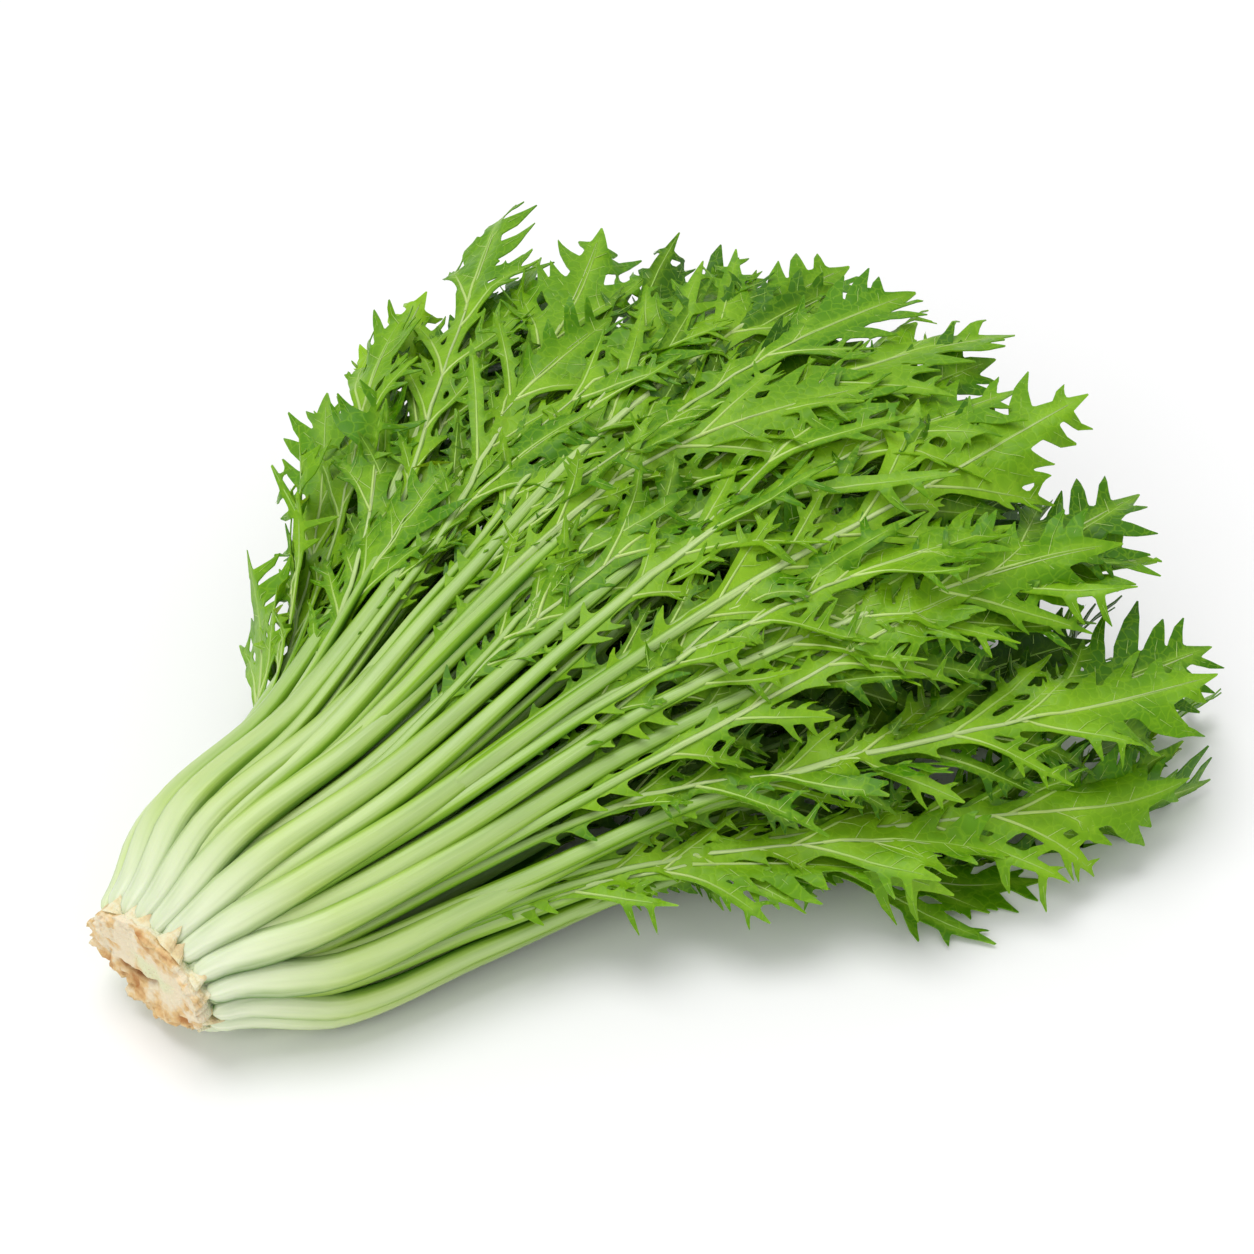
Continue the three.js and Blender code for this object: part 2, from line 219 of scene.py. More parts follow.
# The rings of the solids, and the leaves that lie between and over them.
RINGS = (
    LeafRing(Slot.OUTER, 20, 1.0, -4, 362, 5.6, 29, 5, 17),
    LeafRing(Slot.MIDDLE, 14, 0.7, 0, 355, 4.8, 28, 5, 16, 0.5),
    LeafRing(Slot.INNER, 10, 0.42, 4, 345, 3.8, 25, 4, 20),
    LeafRing(Slot.HEART, 6, 0.16, 8, 325, 2.6, 17, 3, 24, 0.5),
)
FILLING = (
    LeafRing(Slot.OUTER, 16, 0.86, -3, 350, 4.2, 27, 5, 17, 0.5, "between", 0, 360, 0.78, 50, 34, (-5, 2)),
    LeafRing(Slot.OUTER, 8, 1.03, -3, 350, 4.0, 28, 4, 4, 0.5, "loose", -12, 196, 0.74, 60, 50, (-3, 9), 0.8),
    LeafRing(Slot.MIDDLE, 6, 1.02, -1, 300, 3.2, 25, 4, 0, 0.3, "short", 5, 190, 0.72, 75, 50, (0, 10), 0.76),
    LeafRing(Slot.OUTER, 7, 0.97, -2, 290, 3.0, 23, 3, 0, 0.5, "far", -34, 58, 0.62, 60, 30, (6, 24), 0.85),
    LeafRing(Slot.OUTER, 6, 0.98, -3, 362, 3.6, 27, 4, 0, 0.5, "spire", 30, 150, 0.9, 70, 34, (4, 16), 0.85),
    LeafRing(Slot.MIDDLE, 9, 0.56, 1, 340, 3.8, 24, 4, 16, 0.5, "tucked", 0, 360, 0.75, 40, 20),
    LeafRing(Slot.OUTER, 20, 1.05, -3, 350, 5.2, 30, 4, 0, 0, "lead", 0, 360, 1, 0, 40, (0, 0), 0.86),
)
# The leaves that lie on top: angle, reach, sideways bend and outward bend at the tip, and lean of the blade.
LEADS = (
    (45, 296, -64, 8, -16),
    (61, 300, -60, 2, 10),
    (29, 226, -20, 14, -20),
    (19, 186, -12, 22, 15),
    (73, 314, -30, 3, -10),
    (89, 286, 34, 12, 26),
    (76, 346, -6, 2, 12),
    (88, 350, 48, 3, -22),
    (117, 324, 14, 3, -8),
    (139, 326, 24, 0, -14),
    (130, 282, 26, 8, -30),
    (161, 310, 18, 2, -34),
    (171, 288, 14, 14, -46),
    (165, 218, 24, 20, -50),
    (168, 182, 20, 18, -56),
    (147, 262, -16, 7, -24),
    (12, 126, -8, 24, 18),
    (4, 150, -6, 18, -14),
    (126, 338, 6, 3, 16),
    (24, 158, -10, 26, -24),
)
NUDGES = {
    "outer_leaf_11": (12, 6),
    "outer_leaf_14": (-6, 0),
    "middle_leaf_01": (6, 12),
    "middle_leaf_02": (-6, 0),
    "middle_leaf_04": (0, -3),
    "middle_leaf_14": (0, 6),
    "inner_leaf_04": (-6, 0),
    "heart_leaf_03": (0, 3),
}


@dataclass
class LeafHabit:
    """How one leaf grows: its place in the bunch and its own small differences, drawn from its own stream."""

    ring: LeafRing
    ring_index: int
    index: int
    form: BunchForm = BunchForm()
    far_loss: float = 0.36
    near_loss: float = 0.12
    top_loss: float = 0.05
    near_turn: float = 48
    stray_share: float = 0.07
    under_freedom: float = 0.6
    under_blade: float = 0.78
    # Each ring's darkest tone and range. Leaves deeper in the bunch get lower tones, which darken them as painted
    # shade; within the range the tone differs at random from leaf to leaf.
    tone_ranges_with_depth_shade: tuple = ((0.0, 0.28), (0.14, 0.4), (0.34, 0.66))
    seed: int = 2

    def __post_init__(self) -> None:
        """Draws the leaf's numbers in the order that the solids use."""
        ring = self.ring
        self.name = f"{ring.prefix or ring.slot.value}_{self.index + 1:02d}"
        lean_nudge, out_nudge = NUDGES.get(self.name, (0, 0))
        self.random = RandomStream(self.seed + 1000 * self.ring_index + 37 * self.index)
        draw = self.random.draw
        # The first draws of streams with neighbouring seeds are alike, so the solids drop them too.
        for _ in range(4):
            draw()
        pitch = ring.pitch
        self.angle = math.radians(ring.first) + (self.index + ring.offset) * pitch
        far = max(0.0, math.cos(self.angle))
        near = max(0.0, -math.cos(self.angle))
        top = max(0.0, math.sin(self.angle))
        self.under = math.sin(self.angle) < -0.1
        freedom = self.under_freedom if self.under else 1
        loss = self.far_loss * (far * ring.spread) ** 3 + self.near_loss * near * ring.spread + self.top_loss * top
        self.reach = ring.length * (1 + 0.07 * draw()) * (1 - loss)
        lean = (ring.lean + 3 * draw()) * freedom - self.near_turn * near * near + lean_nudge
        self.lean = math.radians(lean)
        self.stray = self.stray_share * pitch * draw()
        self.twist = math.radians(8 * draw())
        self.sway = 9 * draw()
        self.curl = 5 * draw() * freedom + out_nudge
        self.cup = 0.08 + 0.05 * draw()
        size = max(self.reach / ring.length, 0.82 if ring.prefix else 0)
        self.blade_half = ring.blade_half * (1 + 0.08 * draw()) * size * (self.under_blade if self.under else 1)
        self.stalk_half = ring.stalk_half * (1 + 0.15 * draw())
        self.own = RandomStream(self.seed * 977 + 131 * self.ring_index + 17 * self.index)
        between = self.own.between
        # Painted shade: the deeper the ring lies, the lower and darker the leaf's tone.
        darkest, range_up = self.tone_ranges_with_depth_shade[sum(ring.spread > limit for limit in (0.8, 0.9))]
        self.tone = darkest + range_up * between(0.0, 1.0)
        self.reach *= between(ring.shortest, 1.0)
        self.wander = 0.25 * ring.bow * between(-1, 1) * freedom
        self.wander_phase = between(0, math.pi)
        self.twist += math.radians(ring.turn * between(-1, 1)) * freedom
        self.sway += ring.bow * between(-1, 1)
        self.curl += between(*ring.lift) * (0 if self.under else 1)
        self.lean += math.radians(0.4 * ring.turn * between(-1, 1)) * (1 if ring.prefix and not self.under else 0)
        self.nod = between(0, 12) * (1 - 0.7 * self.under)
        self.slender = between(0.66, 0.92)
        self.blade_start = between(0.47, 0.56) if ring.prefix else between(0.45, 0.5)
        self.hidden = self.under or ring.spread < 0.6
        if ring.prefix == "lead":
            angle, self.reach, self.sway, self.curl, lean = LEADS[self.index]
            self.angle, self.lean = math.radians(angle), math.radians(lean)
            self.under = self.hidden = False
            self.blade_half = ring.blade_half * max(self.reach / ring.length, 0.66)
            self.stalk_half = ring.stalk_half * max(self.reach / ring.length, 0.6)


class Spine:
    """The line of a leaf's stalk and midrib, with the leaf's own directions along it."""

    rows = 161
    overrun = 6.0
    stray_reach = 150.0
    bend_start = 0.42
    foot_gap = 1.2
    ground_softness = 9.0
    settling = 1.4
    ceiling = 106.0
    ceiling_softness = 10.0
    emerging = (15, 130)
    near_limit, near_room = 172.0, 18.0
    far_limit, far_room = 136.0, 14.0
    tightest_roll = 50.0

    def __init__(self, habit: LeafHabit) -> None:
        """Works out the line and its directions once, at even distances along the axis.

        Args:
            habit: How the leaf grows.
        """
        self.habit = habit
        self.foot = habit.ring.foot + self.foot_gap
        self.length = self._length()
        self.distance = np.linspace(self.foot - self.overrun, habit.reach + self.overrun, self.rows)
        self.point, out, bend, self.radius, self.room = self._rib(self.distance)
        ahead, behind = self._rib(self.distance + 2)[0], self._rib(self.distance - 2)[0]
        tangent = unit(ahead - behind)
        normal = unit(out - tangent * (out * tangent).sum(-1, keepdims=True))
        turn = (habit.lean + habit.twist * bend)[:, None]
        self.normal = normal * np.cos(turn) + np.cross(tangent, normal) * np.sin(turn)
        self.across = np.cross(self.normal, tangent)

    def _rib(self, distance: np.ndarray) -> tuple[np.ndarray, ...]:
        """Works out the rib.

        Args:
            distance: Distances along the bunch's axis.

        Returns:
            The rib's points, outward directions, bend, the ring's radius and a leaf's room there.
        """
        habit, ring, form = self.habit, self.habit.ring, self.habit.form
        spread_out = np.clip(distance / self.stray_reach, 0, 1)
        angle = habit.angle + habit.stray * spread_out
        step = ring.pitch / 2
        spread = ring.spread * (ring.rooted + (1 - ring.rooted) * smooth(distance, *self.emerging))
        middle, before, after = (form.ring_point(spread, angle + s, distance) for s in (0, -step, step))
        pitch = np.linalg.norm(after - before, axis=-1)
        around = (after - before) / pitch[:, None]
        out = np.stack([around[:, 1], -around[:, 0]], -1)
        sagitta = ((middle - before) * out).sum(-1)
        radius = pitch**2 / (8 * np.maximum(sagitta, 0.01))
        bend = np.clip((distance / habit.reach - self.bend_start) / (1 - self.bend_start), 0, 1) ** 2
        share = np.clip(distance / habit.reach, 0, 1)
        drift = habit.sway * bend + habit.wander * share * np.sin(4.4 * share + habit.wander_phase)
        middle = middle + around * drift[:, None] + out * (habit.curl * bend)[:, None]
        point = np.concatenate([distance[:, None], middle], -1)
        outward = np.concatenate([np.zeros((len(distance), 1)), out], -1)
        room = pitch * (1 - 2 * habit.stray_share * spread_out)
        return point, outward, bend, radius, room

    def _length(self) -> float:
        """Length along the rib from the foot to its tip."""
        points = self._rib(np.linspace(self.habit.ring.foot, self.habit.reach, 41))[0]
        return float(np.linalg.norm(np.diff(points, axis=0), axis=-1).sum())

    def read(self, table: np.ndarray, u: np.ndarray) -> np.ndarray:
        """Reads one of the spine's tables.

        Args:
            table: A value or a row of values for each distance.
            u: Lengths along the rib.

        Returns:
            The values at those lengths.
        """
        distance = self.foot + (self.habit.reach - self.foot) * np.asarray(u, float) / self.length
        if table.ndim == 1:
            return np.interp(distance, self.distance, table)
        return np.stack([np.interp(distance, self.distance, table[:, k]) for k in range(table.shape[1])], -1)

    def within_bunch(self, y: np.ndarray, z: np.ndarray) -> tuple[np.ndarray, np.ndarray]:
        """Presses on to the table what would pass under it, and bends over what would leave the bunch's box.

        Args:
            y: Places across the bunch.
            z: Heights.

        Returns:
            The places and heights after that.
        """
        soft = self.ground_softness
        z = np.where(z > soft, z, soft * np.exp(np.minimum(z, soft) / soft - 1)) - self.settling
        far_held = soft_limit(y, self.far_limit, self.far_room)
        near_held = -soft_limit(-far_held, self.near_limit, self.near_room)
        return near_held, soft_limit(z, self.ceiling, self.ceiling_softness)

    def place(self, u: np.ndarray, w: np.ndarray, rise: np.ndarray, droop: np.ndarray) -> tuple:
        """Lays points of the flat leaf on its curved surface.

        Args:
            u: Lengths along the rib.
            w: Distances across it.
            rise: Heights off the plain surface, outwards.
            droop: How far each point hangs down under its weight.

        Returns:
            The points and the surface's directions there.
        """
        point, across, normal = (self.read(t, u) for t in (self.point, self.across, self.normal))
        radius = np.maximum(self.read(self.radius, u), self.tightest_roll)
        hollow = self.habit.cup / self.habit.blade_half + 0.5 / radius
        position = point + unit(across) * w[:, None] + unit(normal) * (rise - hollow * w * w)[:, None]
        position[:, 1], position[:, 2] = self.within_bunch(position[:, 1], position[:, 2] - droop)
        return position, unit(unit(normal) + unit(across) * (2 * hollow * w)[:, None])


@dataclass
class Tongue:
    """A tapering tongue of the flat leaf, as a row of points with half widths: a lobe, a tooth or the wing."""

    points: np.ndarray
    halves: np.ndarray

    def reach(self, u: np.ndarray, w: np.ndarray) -> tuple[np.ndarray, np.ndarray, np.ndarray]:
        """Measures points against the tongue.

        Args:
            u: Lengths along the rib.
            w: Distances across it.

        Returns:
            How far the points lie outside it (negative inside), their share along it and their step to the side.
        """
        best = np.full(np.shape(u), 1e9)
        share = np.zeros(np.shape(u))
        step = np.zeros(np.shape(u))
        count = len(self.points) - 1
        for k in range(count):
            (au, aw), (bu, bw) = self.points[k], self.points[k + 1]
            du, dw = bu - au, bw - aw
            size = math.hypot(du, dw)
            s = np.clip(((u - au) * du + (w - aw) * dw) / (size * size), 0, 1)
            off = np.hypot(u - au - s * du, w - aw - s * dw)
            outside = off - (self.halves[k] + (self.halves[k + 1] - self.halves[k]) * s)
            nearer = outside < best
            best = np.where(nearer, outside, best)
            share = np.where(nearer, (k + s) / count, share)
            turn = np.sign((w - aw) * du - (u - au) * dw)
            step = np.where(nearer, off * turn, step)
        return best, share, step

    def box(self, margin: float) -> tuple[float, float, float, float]:
        """Measures the tongue's extent.

        Args:
            margin: What is added on each side.

        Returns:
            Lowest u, highest u, lowest w and highest w.
        """
        low = (self.points - self.halves[:, None]).min(0) - margin
        high = (self.points + self.halves[:, None]).max(0) + margin
        return low[0], high[0], low[1], high[1]


@dataclass
class Lobe(Tongue):
    """A lobe with its own curve: how it lifts, hangs, twists and folds along its rib."""

    lift: float = 0.0
    hang: float = 0.0
    twist: float = 0.0
    fold: float = 0.15
    teeth: list = field(default_factory=list)


def blend_union(a: np.ndarray, b: np.ndarray, round_size: float) -> np.ndarray:
    """Joins two outlines, given as distances, with a rounded inside corner of a certain size between them."""
    near = np.maximum(round_size - np.abs(a - b), 0) / round_size
    return np.minimum(a, b) - near * near * round_size / 4


def curve_points(start: tuple, bend: tuple, end: tuple, count: int) -> np.ndarray:
    """Lays points on a simple curve.

    Args:
        start: Where it starts.
        bend: The point that it leaves towards.
        end: Where it ends.
        count: How many steps it has.

    Returns:
        A row for each point.
    """
    t = np.linspace(0, 1, count + 1)[:, None]
    a, b, c = (np.asarray(p, float)[None] for p in (start, bend, end))
    return a * (1 - t) ** 2 + 2 * b * t * (1 - t) + c * t * t


class Outline:
    """Traces the edge of a shape that is given as a grid of distances."""

    # For each way a cell's corners can lie inside, the cell sides that the edge enters and leaves by.
    crossings = {
        1: ((0, 3),), 2: ((1, 0),), 3: ((1, 3),), 4: ((2, 1),), 5: ((0, 3), (2, 1)), 6: ((2, 0),), 7: ((2, 3),),
        8: ((3, 2),), 9: ((0, 2),), 10: ((1, 0), (3, 2)), 11: ((1, 2),), 12: ((3, 1),), 13: ((0, 1),), 14: ((3, 0),),
    }
    sides = ((0, 0, 0), (1, 0, 1), (0, 1, 0), (0, 0, 1))
    fewest_points = 13

    def __init__(self, grid: np.ndarray, low: tuple[float, float], step: float) -> None:
        """Keeps the grid.

        Args:
            grid: Distances, negative inside the shape.
            low: The grid's lowest corner.
            step: The size of its cells.
        """
        self.grid = grid
        self.low = np.array(low)
        self.step = step

    def sample(self, points: np.ndarray) -> np.ndarray:
        """Reads the grid between its points.

        Args:
            points: A row for each place.

        Returns:
            The distances there.
        """
        cell = (points - self.low) / self.step
        i = np.clip(np.floor(cell[:, 0]).astype(int), 0, self.grid.shape[0] - 2)
        j = np.clip(np.floor(cell[:, 1]).astype(int), 0, self.grid.shape[1] - 2)
        a, b = cell[:, 0] - i, cell[:, 1] - j
        g = self.grid
        return (g[i, j] * (1 - a) + g[i + 1, j] * a) * (1 - b) + (g[i, j + 1] * (1 - a) + g[i + 1, j + 1] * a) * b

    def loops(self) -> list[np.ndarray]:
        """Traces the edge.

        Returns:
            The closed lines where the distance is nought, with the shape on their left.
        """
        inside = self.grid < 0
        code = inside[:-1, :-1] + 2 * inside[1:, :-1] + 4 * inside[1:, 1:] + 8 * inside[:-1, 1:]
        follow = {}
        for i, j in np.argwhere((code > 0) & (code < 15)).tolist():
            for start, end in self.crossings[int(code[i, j])]:
                a, b = self.sides[start], self.sides[end]
                follow[(i + a[0], j + a[1], a[2])] = (i + b[0], j + b[1], b[2])
        lines = []
        while follow:
            first, here = next(iter(follow.items()))
            line = [first]
            del follow[first]
            while here != first and here in follow:
                line.append(here)
                here = follow.pop(here)
            lines.append(np.array([self._crossing(*mark) for mark in line]))
        return [line for line in lines if len(line) >= self.fewest_points]

    def _crossing(self, i: int, j: int, upright: int) -> tuple[float, float]:
        """Finds where the edge crosses one side of a cell.

        Args:
            i: The cell's number along u.
            j: Its number along w.
            upright: 1 for its side along w, 0 for its side along u.

        Returns:
            The place.
        """
        a = self.grid[i, j]
        b = self.grid[i, j + 1] if upright else self.grid[i + 1, j]
        t = a / (a - b)
        u = self.low[0] + self.step * (i if upright else i + t)
        w = self.low[1] + self.step * (j + t if upright else j)
        return u, w


def thinned(line: np.ndarray, tolerance: float, longest: float) -> np.ndarray:
    """Drops the points of a closed line that it hardly needs, and splits what is left where it is long.

    Args:
        line: A row for each point.
        tolerance: How far the line may move.
        longest: The longest step that stays whole.

    Returns:
        The new line.
    """
    count = len(line)
    keep = np.zeros(count + 1, bool)
    ring = np.vstack([line, line[:1]])
    far = int(np.argmax(np.linalg.norm(line - line[0], axis=1)))
    keep[[0, far, count]] = True
    stack = [(0, far), (far, count)]
    while stack:
        a, b = stack.pop()
        if b - a < 2:
            continue
        chord = ring[b] - ring[a]
        size = max(math.hypot(*chord), 1e-9)
        off = ring[a + 1 : b] - ring[a]
        gap = np.abs(off[:, 0] * chord[1] - off[:, 1] * chord[0]) / size
        worst = int(np.argmax(gap))
        if gap[worst] > tolerance:
            keep[a + 1 + worst] = True
            stack += [(a, a + 1 + worst), (a + 1 + worst, b)]
    corners = ring[keep]
    rows = []
    for a, b in zip(corners[:-1], corners[1:]):
        parts = max(1, math.ceil(math.hypot(*(b - a)) / longest))
        rows += [a + (b - a) * k / parts for k in range(parts)]
    return np.array(rows)


def frame_mesh(name: str, points: np.ndarray, wires: list, faces: list) -> bpy.types.Mesh:
    """Makes a mesh in the frame.

    Args:
        name: The mesh's name.
        points: Its points, in millimetres from the cut.
        wires: Its loose edges.
        faces: Its faces.

    Returns:
        The mesh, in metres.
    """
    mesh = bpy.data.meshes.new(name)
    mesh.from_pydata(((points + CUT_IN_FRAME) * MILLIMETRE).tolist(), wires, faces)
    return mesh


def store(mesh: bpy.types.Mesh, name: str, kind: str, values: np.ndarray | list) -> None:
    """Stores numbers with a mesh's points, for a material or for geometry nodes to read.

    Args:
        mesh: The mesh.
        name: The attribute's name.
        kind: Its type.
        values: A value or a row of values for each point.
    """
    attribute = mesh.attributes.new(name, kind, "POINT")
    part = {"FLOAT": "value", "FLOAT_VECTOR": "vector", "FLOAT_COLOR": "color"}[kind]
    attribute.data.foreach_set(part, np.asarray(values, np.float32).ravel())


def looks_of(*columns: np.ndarray | float) -> np.ndarray:
    """Joins the numbers that a material reads, each a column or one value for all points, into rows."""
    return np.stack(np.broadcast_arrays(*columns), -1).astype(float)


@dataclass
class MeshStock:
    """Collects the points and faces of a leaf in the frame's millimetres, with what its materials read."""

    points: list = field(default_factory=list)
    looks: list = field(default_factory=list)
    faces: list = field(default_factory=list)
    face_uvs: list = field(default_factory=list)
    finishes: list = field(default_factory=list)
    flat: list = field(default_factory=list)
    wires: list = field(default_factory=list)
    halves: list = field(default_factory=list)
    count: int = 0

    def add_points(self, points: np.ndarray, looks: np.ndarray, half: np.ndarray | float = 0.0) -> int:
        """Adds points.

        Args:
            points: Rows of x, y and z.
            looks: A row for each point: nearness to a rib, share of the length, leaf's tone (lowered deep in the bunch
                as painted shade), underside.
            half: Half thickness of a vein there, or nought.

        Returns:
            The first point's number.
        """
        first = self.count
        self.points.append(points)
        self.looks.append(looks)
        self.halves.append(np.broadcast_to(half, len(points)))
        self.count += len(points)
        return first

    def add_faces(self, faces: list, uvs: list, finish: Finish, flat: bool = False) -> None:
        """Adds faces.

        Args:
            faces: The numbers of each face's points.
            uvs: The pattern coordinates of each face's corners.
            finish: The material that they take.
            flat: Whether they are shaded flat.
        """
        self.faces += faces
        self.face_uvs += uvs
        self.finishes += [finish.value] * len(faces)
        self.flat += [flat] * len(faces)

    def mesh(self, name: str) -> bpy.types.Mesh:
        """Builds the Blender mesh, in metres.

        Args:
            name: The mesh's name.

        Returns:
            The mesh.
        """
        mesh = frame_mesh(name, np.concatenate(self.points), self.wires, self.faces)
        mesh.polygons.foreach_set("material_index", np.array(self.finishes, np.int32))
        mesh.polygons.foreach_set("use_smooth", ~np.array(self.flat, bool))
        uv = mesh.uv_layers.new(name="UVMap")
        flat_uv = [value for face in self.face_uvs for corner in face for value in corner]
        uv.data.foreach_set("uv", np.array(flat_uv, np.float32))
        store(mesh, "look", "FLOAT_COLOR", np.concatenate(self.looks))
        store(mesh, "vein_half", "FLOAT", np.concatenate(self.halves).astype(np.float32) * MILLIMETRE)
        mesh.update()
        return mesh


@dataclass
class LeafBlade:
    """The cut blade of one leaf: lobes swept forward along the midrib, each with teeth, and a large end lobe."""

    habit: LeafHabit
    spine: Spine
    end_lobe: float = 0.13
    shortest_end: float = 36.0
    lobe_pitch: float = 31.0
    lobe_share: tuple = (0, 0.35, 0.75, 1)
    lobe_width: tuple = (0.42, 0.8, 1, 0.78)
    wing_share: tuple = (0, 0.15, 0.35, 0.6, 0.8, 0.92)
    wing_width: tuple = (-0.5, 0.4, 1.3, 2.7, 4.2, 4.2)
    grid_step: float = 0.55
    grid_margin: float = 2.5
    far_outside: float = 9.0
    lobe_corner: float = 1.1
    wing_corner: float = 3.4
    inner_step: float = 4.0
    edge_tolerance: float = 0.14
    longest_edge: float = 4.2
    half_thickness: float = 0.24
    off_table: float = 0.1
    frill_length: float = 0.09

    def __post_init__(self) -> None:
        """Lays out the lobes with their teeth, and the frills, and draws what makes the leaf's surface uneven."""
        self.random = self.habit.random
        self.length = self.spine.length
        self.blade_from = self.habit.blade_start * self.length
        self.frill_from = (self.habit.blade_start - self.frill_length) * self.length
        self.terminal = (1 - self.end_lobe) * self.length
        self.lobe_count = self.habit.ring.lobes - (1 if self.habit.under else 0)
        if self.habit.ring.prefix:
            self.terminal = self.length - max(self.end_lobe * self.length, self.shortest_end)
            self.lobe_count = max(2, round((self.terminal - self.blade_from) / self.lobe_pitch))
        self.lobes = self._side_lobes()
        self.lobes.append(self._end_lobe())
        self.frills = self._frills()
        between = self.random.between
        # relief() reads the first six; the last two keep the order of the draws after them.
        self.phases = [between(0, 2 * math.pi) for _ in range(8)]
        self.wave = between(0.35, 0.85)

    def _side_lobes(self) -> list[Lobe]:
        """Lays out the pairs of side lobes, whose tips follow those of the solids.

        Returns:
            The lobes from the foot to the tip.
        """
        draw, between = self.random.draw, self.random.between
        sizes = []
        pitch = (self.terminal - self.blade_from) / self.lobe_count
        for i in range(self.lobe_count):
            extent = self.habit.blade_half * float(along(self.lobe_share, self.lobe_width, (i + 0.5) / self.lobe_count))
            for side in (1, -1):
                reach = extent * (1 + 0.13 * draw())
                sizes.append((i, side, reach, 0.95 + 0.2 * draw()))
        lobes = []
        for i, side, reach, sweep in sizes:
            reach *= between(0.85, 1.2)
            sweep *= between(1.1, 1.6)
            middle = self.blade_from + (i + 0.5 + between(-0.2, 0.2)) * pitch
            lobes.append(self._swept_lobe(middle, side, reach, sweep, between(0.095, 0.135)))
            if between(0, 1) < 0.35:
                middle += pitch * between(0.42, 0.58)
                lobes.append(self._swept_lobe(middle, side, reach * between(0.3, 0.6), sweep, between(0.12, 0.16)))
        return lobes

    def _swept_lobe(self, middle: float, side: int, reach: float, sweep: float, half: float) -> Lobe:
        """One side lobe that is swept forward.

        Args:
            middle: Length along the rib at the lobe's middle.
            side: Which side of the midrib it grows on, 1 or -1.
            reach: How far it reaches sideways.
            sweep: How far it reaches forward, as a share of reach.
            half: Its half width, as a share of reach.

        Returns:
            The lobe.
        """
        between = self.random.between
        root = (middle - between(0.3, 0.5) * reach, 0.0)
        tip = (min(middle + sweep * reach, self.length), side * reach)
        bend = (middle + between(0.35, 0.6) * reach, side * reach * between(0.3, 0.48))
        return self._lobe(root, bend, tip, reach * half)

    def _lobe(self, root: tuple, bend: tuple, tip: tuple, half: float) -> Lobe:
        """One lance-shaped lobe with forward teeth.

        Args:
            root: Where its rib leaves the midrib.
            bend: The point that its rib leaves towards.
            tip: Its tip.
            half: Its largest half width.

        Returns:
            The lobe with its teeth.
        """
        between = self.random.between
        points = curve_points(root, bend, tip, 6)
        halves = half * np.array([0.62, 0.66, 0.84, 1.0, 0.86, 0.5, 0.03])
        curl = dict(lift=between(-8, 15), hang=between(0, 9), twist=between(-0.9, 0.9), fold=between(0.1, 0.45))
        lobe = Lobe(points, halves, **curl)
        size = float(np.linalg.norm(points[-1] - points[0]))
        side = 1.0 if tip[1] > 0 else -1.0
        rear = ((0.42, 0.22), (0.61, 0.25), (0.8, 0.13))
        front = ((0.53, 0.19), (0.73, 0.16))
        for marks, turn in ((rear, -side), (front, side)):
            for share, reach in marks:
                if size * reach > 1.6:
                    at = share + between(-0.045, 0.045)
                    lobe.teeth.append(self._tooth(lobe, at, turn, size * reach * between(0.6, 1.3)))
        return lobe

    def _tooth(self, lobe: Lobe, share: float, turn: float, reach: float) -> Tongue:
        """One pointed tooth that curves forward.

        Args:
            lobe: The lobe that it grows on.
            share: Where it leaves the lobe's rib, as a share of its length.
            turn: The side that it leaves to, 1 or -1.
            reach: How far it reaches.

        Returns:
            The tooth.
        """
        between = self.random.between
        knots = np.linspace(0, 1, len(lobe.points))
        at = np.array([np.interp(share, knots, lobe.points[:, k]) for k in (0, 1)])
        ahead = np.array([np.interp(min(share + 0.1, 1), knots, lobe.points[:, k]) for k in (0, 1)])
        forward = unit(ahead - at)
        sideways = np.array([-forward[1], forward[0]]) * turn
        half = float(np.interp(share, knots, lobe.halves))
        out = half + reach * 0.62
        tip = at + sideways * out + forward * (out * between(0.75, 1.15))
        elbow = at + sideways * out * 0.55 + forward * out * 0.25
        points = curve_points(at, elbow, tip, 3)
        return Tongue(points, np.array([0.5, 0.42, 0.26, 0.02]) * min(out * 0.8, half * 1.4))

    def _end_lobe(self) -> Lobe:
        """Lays out the end lobe, which is broad and has the largest teeth.

        Returns:
            The lobe.
        """
        between = self.random.between
        size = self.length - self.terminal
        bow = between(-0.08, 0.08) * size
        points = curve_points((self.terminal - 0.5 * size, 0), (self.terminal + 0.3 * size, bow), (self.length, 0), 6)
        halves = size * np.array([0.1, 0.13, 0.155, 0.165, 0.135, 0.08, 0.01])
        lobe = Lobe(points, halves, lift=between(-6, 8), hang=between(0, 8), twist=between(-0.4, 0.4))
        for share, reach in ((0.22, 0.5), (0.42, 0.46), (0.6, 0.36), (0.78, 0.2)):
            for turn in (1.0, -1.0):
                at = share + between(-0.06, 0.06)
                lobe.teeth.append(self._tooth(lobe, at, turn, size * reach * between(0.6, 1.25)))
        return lobe

